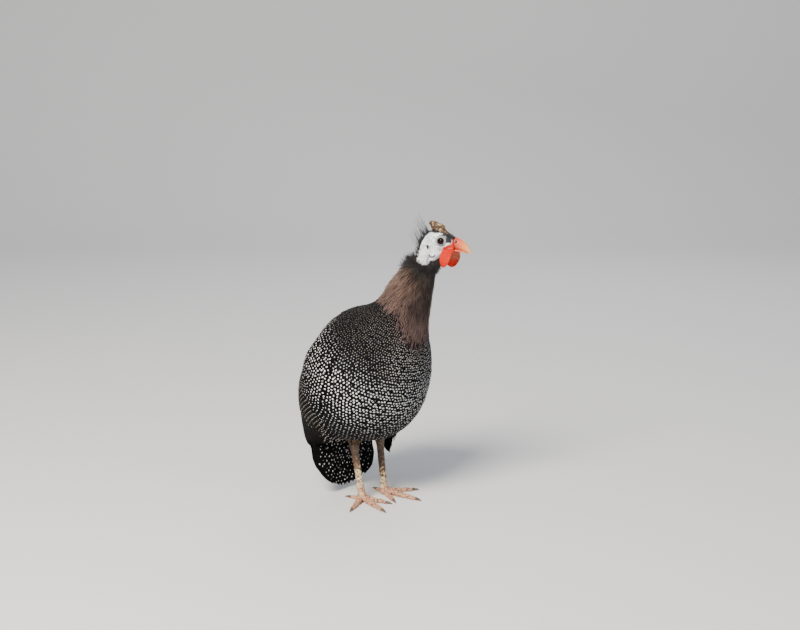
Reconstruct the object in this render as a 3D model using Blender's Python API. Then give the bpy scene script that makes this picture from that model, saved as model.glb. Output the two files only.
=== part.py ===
"""Helmeted guinea fowl, standing upright on both feet with its head turned to its left.

Metres, +Z up. The bird faces +X, and its left side is +Y. It is modelled about the point on the floor midway
between its feet, and a parent empty then puts the middle of the whole bird's outline over the origin.
"""

import math

import bmesh
import bpy
from mathutils import Matrix, Vector

MM = 0.001
GAP = 0.3 * MM

# The body and neck follow one line from the rump up to the head. Each row is a station of that line:
# forward, left and up, then the half depth to the back, to the belly, and the half width to each side.
SPINE = [
    (-72, 0, 74, 24, 11, 20),
    (-68, 0, 90, 40, 29, 42),
    (-57, 0, 112, 58, 52, 64),
    (-38, 0, 138, 77, 73, 82),
    (-12, 0, 166, 94, 82, 92),
    (12, 0, 196, 99, 74, 87),
    (34, 0, 226, 88, 58, 72),
    (51, 1, 253, 66, 42, 52),
    (63, 3, 277, 50, 31, 38),
    (72, 6, 299, 40, 25, 31),
    (80, 10, 320, 32, 19, 25),
    (85, 14, 338, 26, 15, 20),
    (88, 17, 350, 22, 13, 17),
]
RUMP_END, COLLAR, NECK_TOP = 0.0, 6.6, 12.0
BODY_SIDES = 32
TORSO_RINGS, NECK_RINGS = 19, 10

# The head, about the midpoint between the eyes, with x to the bill.
HEAD_PLACE = Vector((110, 29, 386.5)) * MM
HEAD_YAW = math.radians(25)
EYE_RADIUS = 6 * MM
EYE_SIDE = 8.2 * MM
EYE_OPENING = 4.3 * MM
# Rows of x, middle height, half height and half width, from the nape to the bill
SKULL = [
    (-31.5, -12, 3, 3),
    (-30, -11, 7.5, 7.2),
    (-25, -6.5, 11.8, 11),
    (-16, -2.6, 14.6, 13),
    (-4, -1.6, 14.9, 13.2),
    (6, -2.6, 12.8, 11.6),
    (12, -4.0, 11.2, 9.6),
    (17, -5.4, 10.8, 7.8),
]
BILL_START = 17
UPPER_BILL = [
    (17.3, -3.5, 8.7, 7.4),
    (21, -4.2, 8.3, 7.0),
    (27, -6.2, 7.2, 5.8),
    (32, -8.6, 6.0, 4.6),
    (36, -11.5, 4.8, 3.2),
    (39, -14.7, 3.2, 1.8),
    (40.5, -17.2, 1.3, 0.8),
]
LOWER_BILL = [
    (17.3, -13.2, 2.8, 6.2),
    (23, -13.4, 2.2, 5.3),
    (28, -14.1, 1.7, 4.1),
    (32, -15.1, 1.3, 2.8),
    (35.5, -16.3, 0.9, 1.5),
]
# The throat fills the space from the neck up into the skull: height, middle x, half length, half width
THROAT = [(-19, -16.8, 18.6, 12.8), (-10, -15.5, 18, 11.8)]
# The casque's rows go upwards: height, middle x, half length, half width
CASQUE = [
    (8.5, -2.5, 11.5, 6.0),
    (12.5, -5.4, 10.9, 4.8),
    (16.5, -8.6, 10.0, 4.2),
    (20.5, -12.0, 8.6, 3.8),
    (23.5, -14.6, 6.6, 3.2),
    (25.6, -14.6, 3.4, 1.8),
]
# The wattle's rows go down from the corner of the mouth: inner edge, middle and outer edge, each as x, side, z
WATTLE = [
    ((3, 7.5, -11), (11, 9.5, -12.5), (18.5, 7, -12)),
    ((-0.5, 9.5, -19), (6, 16, -19), (17.5, 18, -17.5)),
    ((-1, 11, -28), (4.5, 19.5, -29), (16.5, 24, -26.5)),
    ((1.5, 14, -34.5), (5.5, 20, -36), (13, 23.5, -33.5)),
    ((4.5, 17, -37.5), (7, 19.8, -38.3), (10, 21.8, -37)),
]
WATTLE_LENGTHS = {1: 1.08, -1: 0.85}
WATTLE_HALF_THICKNESS = 1.0 * MM
# Fleshy swellings of each side of the head: centre as x, side, z, then three half sizes and the tilt in degrees
SWELLINGS = {
    "lappet": ((-21.5, 14.8, -24), (5.4, 3.4, 9.5), 0),
    "cheek_fold": ((-12, 12.2, -21.5), (6.5, 2.8, 2.6), -14),
    "gape": ((12, 7.4, -12.5), (6.5, 2.8, 3.4), 0),
}

# The legs
STANCE = 45 * MM
HOCK_HEIGHT = 78 * MM
HOCK_BACK = 12 * MM
HOCK_OUT = 3 * MM
TOE_JOINT_HEIGHT = 10 * MM
FOOT_SPLAY = math.radians(12)
# name, length, turn from straight ahead towards the outer side in degrees, radius at the root and at the tip
FRONT_TOES = [
    ("inner", 34 * MM, -36, 4.0 * MM, 2.5 * MM),
    ("middle", 51 * MM, 0, 4.4 * MM, 2.6 * MM),
    ("outer", 40 * MM, 50, 4.0 * MM, 2.5 * MM),
]
HIND_TOE = ("hind", 17 * MM, 158, 3.0 * MM, 2.2 * MM)
CLAW_LENGTH = 10 * MM
TOE_START_HEIGHT = 7.2 * MM
TOE_SINK = 0.5 * MM
# The thigh from the hip to the hock: share of the way, half length and half width
THIGH = [(0, 30, 24), (0.45, 22, 18), (0.72, 13, 11), (0.9, 7.6, 7.0)]
HIP = Vector((4, 36.5, 130)) * MM
# The shank from the hock to the toes, in the same form, after its top under the thigh's feathers
SHANK = [(0, 7.0, 5.8), (0.12, 5.2, 4.4), (0.5, 4.6, 3.9), (0.85, 4.9, 4.2)]
KNEE_SIZE = (6.4, 5.6)
ANKLE_SIZE = (5.4, 5.0)
ANKLE_RISE = 3 * MM

# The folded wing: its middle line runs down the side of the body from the shoulder to the tip.
WING_ROWS = [
    # station of the body, angle from the back in degrees, half width, stand-off from the body in mm
    (5.9, 62, 16, 0),
    (5.2, 65, 38, 1),
    (4.3, 69, 50, 1.5),
    (3.3, 74, 53, 2),
    (2.3, 80, 48, 3),
    (1.4, 87, 34, 6),
    (0.75, 92, 12, 10),
]
WING_CORE_ROWS = 11
# How far the tip hangs clear of the body, forward, outwards and up in mm: the left wing droops more
WING_DROOP = {1: (30, 16, -30), -1: (-2, 0, -4)}
# Tiers of the folded wing: count, start and end of the vanes, how far the ends step to the edges, lift
WING_TIERS = {
    "median_coverts": (6, 0.20, 0.45, 0.03, 1.0),
    "greater_coverts": (6, 0.38, 0.66, 0.04, 1.0),
    "secondaries": (6, 0.58, 0.88, 0.07, 0.9),
    "primaries": (4, 0.76, 1.03, 0.05, 0.7),
}

# The tail hangs down behind the legs: forward, up, half width, and its depth to the front and to the back
TAIL_ROWS = [
    (-78, 104, 34, 22, 20),
    (-84, 84, 46, 24, 14),
    (-80, 62, 50, 22, 8),
    (-73, 40, 48, 10, 5),
    (-65, 20, 38, 4, 3),
    (-58, 4.0, 18, 1.5, 1.5),
]
TAIL_CORE_ROWS = 8
# Tiers of the tail: face, count, start and end of the vanes, how far the ends step up at the sides, lift
TAIL_TIERS = {
    "upper_coverts": (1, 6, 0.16, 0.50, 0.05, 1.0),
    "tail_feathers": (1, 7, 0.44, 1.0, 0.10, 0.8),
    "under_coverts": (-1, 4, 0.34, 0.68, 0.06, 0.9),
}

# The outline of a vane: how far along it, its half width as a share of the widest, and its rise out of the core
VANE = [(0, 0.75, -1.6), (0.66, 1.0, 1.4), (1.0, 0.42, 2.1)]
VANE_HALF_THICKNESS = 0.3 * MM
# How much higher each feather lies than its neighbour, and how far off a core its vanes reach
SHINGLE = 1.1 * MM
VANE_CLEARANCE = 4.2 * MM

# Colours as linear red, green and blue, with roughness
FINISHES = {
    "body_feathers": ((0.045, 0.045, 0.05), 0.75),
    "wing_feathers": ((0.035, 0.035, 0.04), 0.65),
    "tail_feathers": ((0.02, 0.02, 0.022), 0.65),
    "neck_feathers": ((0.13, 0.09, 0.09), 0.8),
    "face_skin": ((0.75, 0.80, 0.84), 0.55),
    "casque_horn": ((0.36, 0.22, 0.10), 0.6),
    "bill_horn": ((0.78, 0.32, 0.20), 0.4),
    "wattle_skin": ((0.75, 0.05, 0.03), 0.45),
    "eye": ((0.03, 0.012, 0.008), 0.05),
    "leg_scales": ((0.42, 0.24, 0.15), 0.6),
    "claw": ((0.10, 0.06, 0.045), 0.4),
}


def mm(x, y, z):
    """A place or a size given in millimetres."""
    return Vector((x, y, z)) * MM


def clear_scene():
    for obj in list(bpy.data.objects):
        bpy.data.objects.remove(obj)


def finish_material(name):
    """One Principled material for each finish."""
    material = bpy.data.materials.get(name) or bpy.data.materials.new(name)
    material.use_nodes = True
    colour, roughness = FINISHES[name]
    shader = material.node_tree.nodes["Principled BSDF"]
    shader.inputs["Base Color"].default_value = (*colour, 1)
    shader.inputs["Roughness"].default_value = roughness
    shader.inputs["Metallic"].default_value = 0
    return material


def object_from(bm, name, place=None):
    """A new object that takes a bmesh, with its faces pointing out."""
    bmesh.ops.recalc_face_normals(bm, faces=bm.faces)
    mesh = bpy.data.meshes.new(name)
    bm.to_mesh(mesh)
    bm.free()
    obj = bpy.data.objects.new(name, mesh)
    bird.objects.link(obj)
    if place is not None:
        obj.parent = place
    return obj


def empty_at(name, matrix):
    place = bpy.data.objects.new(name, None)
    bird.objects.link(place)
    place.matrix_world = matrix
    return place


def row_at(table, at):
    """A smooth curve through the rows of a table, read at a row number with a fraction."""
    last = len(table) - 1
    i = min(int(at), last - 1)
    t = at - i
    a, b, c, d = (table[min(max(k, 0), last)] for k in (i - 1, i, i + 1, i + 2))
    return [
        0.5 * (2 * q + (r - p) * t + (2 * p - 5 * q + 4 * r - s) * t * t + (3 * q - p - 3 * r + s) * t**3)
        for p, q, r, s in zip(a, b, c, d)
    ]


def ease(x):
    """A step from 0 to 1 with soft ends."""
    x = min(max(x, 0), 1)
    return x * x * (3 - 2 * x)


def body_section(at):
    """Centre, the directions to the back and to the left side, and the three half sizes."""
    row = row_at(SPINE, at)
    here = Vector(row[:3]) * MM
    low, high = row_at(SPINE, max(at - 0.1, 0)), row_at(SPINE, min(at + 0.1, NECK_TOP))
    along = (Vector(high[:3]) - Vector(low[:3])).normalized()
    left = (Vector((0, 1, 0)) - along * along.y).normalized()
    return here, along, along.cross(left), left, [size * MM for size in row[3:6]]


def body_point(at, angle, out=0.0):
    """A point at a distance out from the body's surface. Angle 0 is the back, a quarter turn the left side."""
    centre, along, back, left, (to_back, to_belly, to_side) = body_section(at)
    depth = to_back if math.cos(angle) > 0 else to_belly
    off = Vector((math.cos(angle) / depth, math.sin(angle) / to_side)).normalized() * out
    return centre + back * (depth * math.cos(angle) + off.x) + left * (to_side * math.sin(angle) + off.y)


def body_ring(at, shift=0.0):
    along = body_section(at)[1]
    turns = (2 * math.pi * k / BODY_SIDES for k in range(BODY_SIDES))
    return [body_point(at, turn) + along * shift for turn in turns]


def loft(name, rings, place=None):
    """A closed solid through rings of the same count of points."""
    bm = bmesh.new()
    made = [[bm.verts.new(point) for point in ring] for ring in rings]
    for low, high in zip(made, made[1:]):
        for k in range(len(low)):
            n = (k + 1) % len(low)
            bm.faces.new((low[k], low[n], high[n], high[k]))
    bm.faces.new(made[0])
    bm.faces.new(list(reversed(made[-1])))
    return object_from(bm, name, place)


def body_loft(name, start, end, rings, low_shift=0.0):
    made = []
    for k in range(rings + 1):
        at = start + (end - start) * k / rings
        made.append(body_ring(at, low_shift if k == 0 else 0))
    return loft(name, made)


def ellipse_ring(centre, first, second, sides=24):
    """A ring about a centre, with two half axes as vectors."""
    turns = (2 * math.pi * k / sides for k in range(sides))
    return [centre + first * math.cos(turn) + second * math.sin(turn) for turn in turns]


def ball(name, centre, radii, place=None, segments=20, turn=None):
    """An ellipsoid with its three half sizes, turned by a rotation if one is given."""
    bm = bmesh.new()
    bmesh.ops.create_uvsphere(bm, u_segments=segments, v_segments=segments // 2, radius=1)
    matrix = Matrix.Translation(centre) @ (turn or Matrix()) @ Matrix.Diagonal((*radii, 1))
    bmesh.ops.transform(bm, matrix=matrix, verts=bm.verts)
    return object_from(bm, name, place)


def block(name, low, high, place=None):
    """A box between two corners."""
    bm = bmesh.new()
    bmesh.ops.create_cube(bm, size=1)
    matrix = Matrix.Translation((low + high) / 2) @ Matrix.Diagonal((*(high - low), 1))
    bmesh.ops.transform(bm, matrix=matrix, verts=bm.verts)
    return object_from(bm, name, place)


def as_mesh(obj):
    """A new mesh object in place of a curve or of an object with modifiers, with its loose caps welded."""
    bpy.context.view_layer.update()
    graph = bpy.context.evaluated_depsgraph_get()
    mesh = bpy.data.meshes.new_from_object(obj.evaluated_get(graph))
    made = bpy.data.objects.new(obj.name + "_mesh", mesh)
    bird.objects.link(made)
    made.parent = obj.parent
    made.matrix_world = obj.matrix_world
    name = obj.name
    bpy.data.objects.remove(obj)
    made.name = name
    bm = bmesh.new()
    bm.from_mesh(mesh)
    bmesh.ops.remove_doubles(bm, verts=bm.verts, dist=0.001 * MM)
    bm.to_mesh(mesh)
    bm.free()
    return made


def tapered_tube(name, points, radii, place=None, fineness=2):
    """A round bar along points, with a radius at each."""
    curve = bpy.data.curves.new(name, "CURVE")
    curve.dimensions = "3D"
    curve.bevel_depth = 1
    curve.bevel_resolution = fineness
    curve.use_fill_caps = True
    spline = curve.splines.new("POLY")
    spline.points.add(len(points) - 1)
    for node, point, radius in zip(spline.points, points, radii):
        node.co = (*point, 1)
        node.radius = radius
    obj = bpy.data.objects.new(name, curve)
    bird.objects.link(obj)
    obj.parent = place
    return as_mesh(obj)


def plate(name, rows, place=None):
    """A closed sheet over rows of point, normal, depth above and depth below, alike on both faces."""
    bm = bmesh.new()
    top = [[bm.verts.new(p + n * above) for p, n, above, below in row] for row in rows]
    low = [[bm.verts.new(p - n * below) for p, n, above, below in row] for row in rows]
    across = len(rows[0])
    for i in range(len(rows) - 1):
        for j in range(across - 1):
            for sheet, flip in ((top, 1), (low, -1)):
                a, b, c, d = sheet[i][j], sheet[i][j + 1], sheet[i + 1][j + 1], sheet[i + 1][j]
                bm.faces.new((a, b, c)[::flip])
                bm.faces.new((a, c, d)[::flip])
    rim = [(0, j) for j in range(across)] + [(i, across - 1) for i in range(1, len(rows))]
    rim += [(len(rows) - 1, j) for j in range(across - 2, -1, -1)]
    rim += [(i, 0) for i in range(len(rows) - 2, 0, -1)]
    for (i, j), (m, n) in zip(rim, rim[1:] + rim[:1]):
        bm.faces.new((top[i][j], low[i][j], low[m][n]))
        bm.faces.new((top[i][j], low[m][n], top[m][n]))
    return object_from(bm, name, place)


def combine(base, others, operation, solver="EXACT"):
    """Joins closed pieces to a base, or cuts them from it, and removes them."""
    group = bpy.data.collections.new("pieces")
    for obj in others:
        bird.objects.unlink(obj)
        group.objects.link(obj)
    bpy.context.scene.collection.children.link(group)
    step = base.modifiers.new("combine", "BOOLEAN")
    step.operation = operation
    step.solver = solver
    step.operand_type = "COLLECTION"
    step.collection = group
    made = as_mesh(base)
    for obj in list(group.objects):
        bpy.data.objects.remove(obj)
    bpy.data.collections.remove(group)
    return made


def keep_largest(obj):
    """Leaves only the object's largest closed surface."""
    bm = bmesh.new()
    bm.from_mesh(obj.data)
    bm.verts.ensure_lookup_table()
    seen, shells = set(), []
    for seed in bm.verts:
        if seed in seen:
            continue
        shell, waiting = [], [seed]
        seen.add(seed)
        while waiting:
            vert = waiting.pop()
            shell.append(vert)
            for edge in vert.link_edges:
                other = edge.other_vert(vert)
                if other not in seen:
                    seen.add(other)
                    waiting.append(other)
        shells.append(shell)
    shells.sort(key=lambda shell: extent(vert.co for vert in shell))
    for shell in shells[:-1]:
        bmesh.ops.delete(bm, geom=shell, context="VERTS")
    bm.to_mesh(obj.data)
    bm.free()
    return obj


def swollen(obj, amount=1.4 * GAP):
    """Grows a cutter along its own normals, so what it cuts stays clear of the shape it stands for."""
    bm = bmesh.new()
    bm.from_mesh(obj.data)
    bmesh.ops.recalc_face_normals(bm, faces=bm.faces)
    bm.normal_update()
    moves = [vert.normal * amount for vert in bm.verts]
    for vert, move in zip(bm.verts, moves):
        vert.co += move
    bm.to_mesh(obj.data)
    bm.free()
    return obj


def extent(points):
    """The diagonal of the box round some points."""
    points = list(points)
    low = Vector([min(p[k] for p in points) for k in range(3)])
    high = Vector([max(p[k] for p in points) for k in range(3)])
    return (high - low).length


def finished(obj, name, finish, smooth=True):
    """Names a node and gives it its material."""
    obj.name = name
    obj.data.name = name
    obj.data.materials.clear()
    obj.data.materials.append(finish_material(finish))
    if smooth:
        obj.data.shade_smooth()
        obj.data.set_sharp_from_angle(angle=math.radians(40))
    return obj


def build_torso():
    torso = body_loft("torso", RUMP_END, COLLAR, TORSO_RINGS)
    return finished(torso, "torso", "body_feathers")


def grown_torso():
    """The torso with the gap all round, for cutting what grows from it."""
    return swollen(body_loft("torso_cut", RUMP_END, COLLAR, TORSO_RINGS))


def build_neck():
    neck = body_loft("neck", COLLAR, NECK_TOP, NECK_RINGS, low_shift=GAP)
    return finished(neck, "neck", "neck_feathers")


def grown_neck():
    return swollen(body_loft("neck_cut", COLLAR, NECK_TOP, NECK_RINGS))


def head_loft(name, stations, place, sides=24, grow=0.0):
    """A solid along the head: rows of x, middle height, half height and half width. Its two ends are flat."""
    rings = []
    for x, middle, half_height, half_width in stations:
        up = Vector((0, 0, half_height * MM + grow))
        side = Vector((0, half_width * MM + grow, 0))
        rings.append(ellipse_ring(mm(x, 0, middle), up, side, sides))
    for point in rings[0]:
        point.x -= grow
    for point in rings[-1]:
        point.x += grow
    return loft(name, rings, place)


def smooth_rows(table, count):
    return [row_at(table, (len(table) - 1) * k / count) for k in range(count + 1)]


def casque_loft(name, place, grow=0.0):
    rings = []
    for height, middle, half_length, half_width in smooth_rows(CASQUE, 10):
        along = Vector((half_length * MM + grow, 0, 0))
        side = Vector((0, half_width * MM + grow, 0))
        rings.append(ellipse_ring(mm(middle, 0, height), along, side, 16))
    for point in rings[0]:
        point.z -= grow
    return loft(name, rings, place)


def eye_ball(name, side, place, grow=0.0):
    return ball(name, Vector((0, side * EYE_SIDE, 0)), (EYE_RADIUS + grow,) * 3, place, 16)


def ring_about(name, centre, axis, radius, thickness, place):
    """A round rim, such as a lid or the edge of the ear, lying square to an axis."""
    bpy.ops.mesh.primitive_torus_add(
        major_segments=12, minor_segments=5, major_radius=radius, minor_radius=thickness
    )
    rim = bpy.context.object
    for group in list(rim.users_collection):
        group.objects.unlink(rim)
    bird.objects.link(rim)
    turn = axis.normalized().to_track_quat("Z", "X").to_matrix().to_4x4()
    rim.data.transform(Matrix.Translation(centre) @ turn)
    rim.matrix_world = Matrix()
    rim.parent = place
    rim.name = name
    return rim


def wattle(name, side, place):
    """A cupped lobe that hangs from the corner of the mouth and flares outwards."""
    rows = []
    for k in range(9):
        inner, middle, outer = (Vector(row_at([row[n] for row in WATTLE], 0.5 * k)) for n in range(3))
        row = []
        for j in range(7):
            across = j / 3 - 1
            point = inner * across * (across - 1) / 2 + middle * (1 - across * across)
            point += outer * across * (across + 1) / 2
            drop = (point.z + 11) * WATTLE_LENGTHS[side] - 11
            row.append(Vector((point.x, side * point.y, drop)) * MM)
        rows.append(row)
    return sheet_solid(name, rows, WATTLE_HALF_THICKNESS, place)


def sheet_solid(name, rows, half_thickness, place=None):
    """A plate over a grid of points, with normals taken from the grid itself."""
    made = []
    for i, row in enumerate(rows):
        above, below = rows[max(i - 1, 0)], rows[min(i + 1, len(rows) - 1)]
        line = []
        for j, point in enumerate(row):
            across = row[min(j + 1, len(row) - 1)] - row[max(j - 1, 0)]
            normal = across.cross(below[j] - above[j]).normalized()
            line.append((point, normal, half_thickness, half_thickness))
        made.append(line)
    return plate(name, made, place)


def throat_loft(place):
    """The throat, from the neck's rim up into the skull."""
    to_head = place.matrix_world.inverted()
    rim = [to_head @ point for point in body_ring(NECK_TOP - 0.3)]
    centre = sum(rim, Vector()) / len(rim)
    rings = [rim]
    for height, middle, half_length, half_width in THROAT:
        ways = [(point - centre).normalized() for point in rim]
        rings.append([mm(middle + way.x * half_length, way.y * half_width, height) for way in ways])
    return loft("throat", rings, place)


def face_pieces(side, place):
    """The lid, the rim of the ear and the fleshy swellings of one side of the head."""
    lid = ring_about(
        "lid", mm(0.3, side * 12.6, 0.3), Vector((0.12, side, 0.08)), EYE_OPENING + 0.6 * MM, 1.3 * MM, place
    )
    ear_way = Vector((-0.35, side, 0))
    ear = ring_about("ear_rim", mm(-18.5, side * 12.4, -8.5), ear_way, 2.1 * MM, 0.9 * MM, place)
    pieces = [lid, ear]
    for name, (centre, sizes, tilt) in SWELLINGS.items():
        turn = Matrix.Rotation(math.radians(tilt), 4, "Y")
        pieces.append(ball(name, mm(centre[0], side * centre[1], centre[2]), mm(*sizes), place, 10, turn))
    return pieces


def build_head():
    place = empty_at("head_place", Matrix.Translation(HEAD_PLACE) @ Matrix.Rotation(HEAD_YAW, 4, "Z"))
    bpy.context.view_layer.update()
    skull = head_loft("skull", smooth_rows(SKULL, 12), place, 18)
    chin = ball("chin", mm(6, 0, -12), mm(16, 8.5, 7), place, 14)
    pieces = [throat_loft(place), chin, *face_pieces(1, place), *face_pieces(-1, place)]
    head = combine(skull, pieces, "UNION")
    cutters = [casque_loft("casque_cut", place, GAP), grown_neck()]
    cutters.append(block("bill_cut", mm(BILL_START, -40, -40), mm(80, 40, 40), place))
    for side in (1, -1):
        cutters.append(eye_ball("eye_cut", side, place, GAP))
        cutters.append(swollen(wattle("wattle_cut", side, place)))
        cutters.append(ball("ear_hole", mm(-18.5, side * 14, -8.5), mm(1.5, 4, 1.5), place, 8))
        cutters.append(ball("mouth_line", mm(16, side * 9, -12.6), mm(7, 2.4, 0.4), place, 8))
    head = keep_largest(combine(head, cutters, "DIFFERENCE"))
    finished(head, "head", "face_skin")
    finished(casque_loft("casque", place), "casque", "casque_horn")
    upper = head_loft("bill_upper", smooth_rows(UPPER_BILL, 11), place, 16)
    nostrils = [ball("nostril", mm(20.5, side * 6.9, -1), mm(1.2, 2.2, 2.2), place, 8) for side in (1, -1)]
    finished(keep_largest(combine(upper, nostrils, "DIFFERENCE")), "bill_upper", "bill_horn")
    upper_cut = head_loft("upper_cut", smooth_rows(UPPER_BILL, 11), place, 16, grow=GAP)
    lower = head_loft("bill_lower", smooth_rows(LOWER_BILL, 7), place, 12)
    finished(keep_largest(combine(lower, [upper_cut], "DIFFERENCE")), "bill_lower", "bill_horn")
    for side, word in ((1, "left"), (-1, "right")):
        finished(eye_ball("eye_" + word, side, place), "eye_" + word, "eye")
        finished(wattle("wattle_" + word, side, place), "wattle_" + word, "wattle_skin")


def level_ring(centre, half_length, half_width, sides):
    return ellipse_ring(centre, mm(half_length, 0, 0), mm(0, half_width, 0), sides)


def build_thigh(side, word, hock):
    """The feathered thigh, from inside the belly to just above the hock. Gives back the middle of its end."""
    hip = Vector((HIP.x, side * HIP.y, HIP.z))
    rings = []
    for share, half_length, half_width in (row_at(THIGH, 3 * k / 8) for k in range(9)):
        rings.append(level_ring(hip.lerp(hock, share), half_length, half_width, 20))
    thigh = keep_largest(combine(loft("thigh", rings), [grown_torso()], "DIFFERENCE"))
    finished(thigh, "thigh_" + word, "body_feathers")
    return hip.lerp(hock, THIGH[-1][0])


def build_shank(word, knee, hock, joint):
    """The scaly shank, from under the thigh's feathers down to the foot."""
    rings = [level_ring(knee - Vector((0, 0, GAP)), *KNEE_SIZE, 16)]
    for share, half_length, half_width in SHANK:
        rings.append(level_ring(hock.lerp(joint, share), half_length, half_width, 16))
    rings.append(level_ring(joint + Vector((0, 0, ANKLE_RISE)), *ANKLE_SIZE, 16))
    finished(loft("shank", rings), "shank_" + word, "leg_scales")


def toe_line(way, length, root_radius, tip_radius):
    """The middle points and radii of a toe, from under the ankle down to the floor and out to its claw."""
    points, radii = [], []
    for k in range(7):
        t = k / 6
        radius = root_radius * (1 - t) + tip_radius * t
        knuckles = 1.2 * MM * math.sin(3 * math.pi * t) ** 2 * t
        height = radius + (TOE_START_HEIGHT - root_radius) * (1 - t) ** 3 + knuckles - TOE_SINK
        points.append(way * length * t + Vector((0, 0, height)))
        radii.append(radius)
    return points, radii


def build_claw(name, way, tip, radius, foot):
    root = tip + way * (radius * 1.25 + GAP) + Vector((0, 0, 0.7 * MM))
    drop = Vector((0, 0, root.z - 0.8 * MM))
    points = [root + way * CLAW_LENGTH * t - drop * t * t for t in (0, 0.35, 0.7, 1)]
    claw = tapered_tube("claw", points, [radius * 0.86, radius * 0.7, radius * 0.45, 0.35 * MM], foot)
    finished(claw, name, "claw")


def build_foot(side, word, joint):
    """The palm, ankle and toes in one, cut flat at the floor, and a claw off the end of each toe."""
    turn = Matrix.Rotation(side * FOOT_SPLAY, 4, "Z")
    foot = empty_at("foot_place_" + word, Matrix.Translation((0, side * STANCE / 2, 0)) @ turn)
    bpy.context.view_layer.update()
    pieces = []
    for toe, length, angle, root_radius, tip_radius in [*FRONT_TOES, HIND_TOE]:
        way = Matrix.Rotation(side * math.radians(angle), 3, "Z") @ Vector((1, 0, 0))
        points, radii = toe_line(way, length, root_radius, tip_radius)
        pieces.append(tapered_tube("toe", points, radii, foot, 1))
        for k in (3, 6):
            pad = Vector((points[k].x, points[k].y, radii[k] * 0.7))
            pieces.append(ball("pad", pad, (radii[k] * 1.25, radii[k] * 1.05, radii[k] * 0.9), foot, 8))
        build_claw("claw_%s_%s" % (toe, word), way, points[-1], radii[-1], foot)
    palm = ball("palm", mm(1, 0, 6), mm(8.5, 7.6, 6.3), foot, 12)
    top = foot.matrix_world.inverted() @ (joint + Vector((0, 0, ANKLE_RISE - GAP)))
    pieces.append(tapered_tube("ankle", [mm(0, 0, 6), top], [5.4 * MM, 5.1 * MM], foot))
    whole = combine(palm, pieces, "UNION")
    below = block("floor_cut", mm(-90, -90, -90), mm(90, 90, 0), foot)
    whole = keep_largest(combine(whole, [below], "DIFFERENCE"))
    finished(whole, "foot_" + word, "leg_scales")


def build_leg(side, word):
    """One leg from the belly down."""
    joint = Vector((0, side * STANCE / 2, TOE_JOINT_HEIGHT))
    hock = Vector((-HOCK_BACK, side * (STANCE / 2 + HOCK_OUT), HOCK_HEIGHT))
    knee = build_thigh(side, word, hock)
    build_shank(word, knee, hock, joint)
    build_foot(side, word, joint)


def wing_point(side, along, across, height):
    """A point of the wing's sheet: along is 0 at the shoulder and 1 at the tip, the others are in metres."""
    at, angle, half_width, off = row_at(WING_ROWS, along * (len(WING_ROWS) - 1))
    sizes = body_section(at)[4]
    turn = math.radians(angle) + across / (sum(sizes) / 3 + off * MM)
    forward, outwards, up = WING_DROOP[side]
    droop = Vector((forward, side * outwards, up)) * MM * max(0, (along - 0.3) / 0.7) ** 1.5
    return body_point(at, side * turn, off * MM + height) + droop


def wing_half_width(along):
    return row_at(WING_ROWS, min(along, 1) * (len(WING_ROWS) - 1))[2] * MM


def wing_top(along, across):
    """How high the wing's core stands above its sheet, at an across from -1 to 1."""
    free = ease((along - 0.45) / 0.4)
    crown = math.sqrt(max(1 - (across / 1.15) ** 2, 0.05))
    return (1.0 + (3.4 - 2.2 * free) * crown) * MM


def wing_core(side, reach=0.94):
    """The wing's flesh and feather bases: a cupped plate sunk into the body, thin where its tip hangs clear."""
    rows = []
    for k in range(WING_CORE_ROWS + 1):
        along = reach * k / WING_CORE_ROWS
        free = ease((along - 0.45) / 0.4)
        row = []
        for j in range(-3, 4):
            across = wing_half_width(along) * j / 3
            point = wing_point(side, along, across, 0)
            normal = (wing_point(side, along, across, MM) - point).normalized()
            row.append((point, normal, wing_top(along, j / 3), (8 * (1 - free) + 1.2 * free) * MM))
        rows.append(row)
    return plate("wing_core", rows)


def vane(spot, spacing, start, end, centre, lift=1.0, flip=1):
    """One large feather. Spot gives a place from along, across and height."""
    rows = []
    for t, share, rise in VANE:
        along = start + (end - start) * t
        row = []
        for j in (-1, 0, 1):
            across = centre + 0.78 * spacing * share * j
            height = rise * lift * MM + flip * SHINGLE * 0.78 * share * j
            row.append((spot(along, across, height), along, across, height))
        rows.append(row)
    made = []
    for row in rows:
        line = []
        for point, along, across, height in row:
            normal = (spot(along, across, height + MM) - point).normalized()
            line.append((point, normal, VANE_HALF_THICKNESS, VANE_HALF_THICKNESS))
        made.append(line)
    return plate("vane", made)


def build_wing(side, word):
    def spot(along, across, height):
        return wing_point(side, along, across * wing_half_width(along), wing_top(along, across) + height)

    vanes = []
    for count, start, end, step, lift in WING_TIERS.values():
        spacing = 1.84 / count
        for k in range(count):
            centre = -0.92 + spacing * (k + 0.5)
            back = step * centre**2
            vanes.append(vane(spot, spacing, start - back, end - back, centre, lift, -1))
    wing = combine(wing_core(side), vanes, "UNION")
    wing = keep_largest(combine(wing, [grown_torso()], "DIFFERENCE"))
    finished(wing, "wing_" + word, "wing_feathers")


def tail_spot(down, across, height, face):
    """A place on the tail: down from 0 to 1, across from -1 to 1, and its height off the back or front face."""
    forward, up, half, front, back = row_at(TAIL_ROWS, 5 * down)
    bulge = math.sqrt(max(1 - 0.94 * across * across, 0.02))
    depth = (1 + (back if face > 0 else front) * bulge) * MM + height
    middle = Vector((forward + 12 * across * across, half * across, up + 0.12 * half * across * across)) * MM
    return middle - Vector((face * depth, 0, 0))


def tail_core():
    rows = []
    for k in range(TAIL_CORE_ROWS + 1):
        down = 0.86 * k / TAIL_CORE_ROWS
        row = []
        for j in range(-5, 6):
            back = tail_spot(down, 0.94 * j / 5, 0, 1)
            front = tail_spot(down, 0.94 * j / 5, 0, -1)
            row.append((back, Vector((-1, 0, 0)), 0, front.x - back.x))
        rows.append(row)
    return plate("tail", rows)


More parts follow.
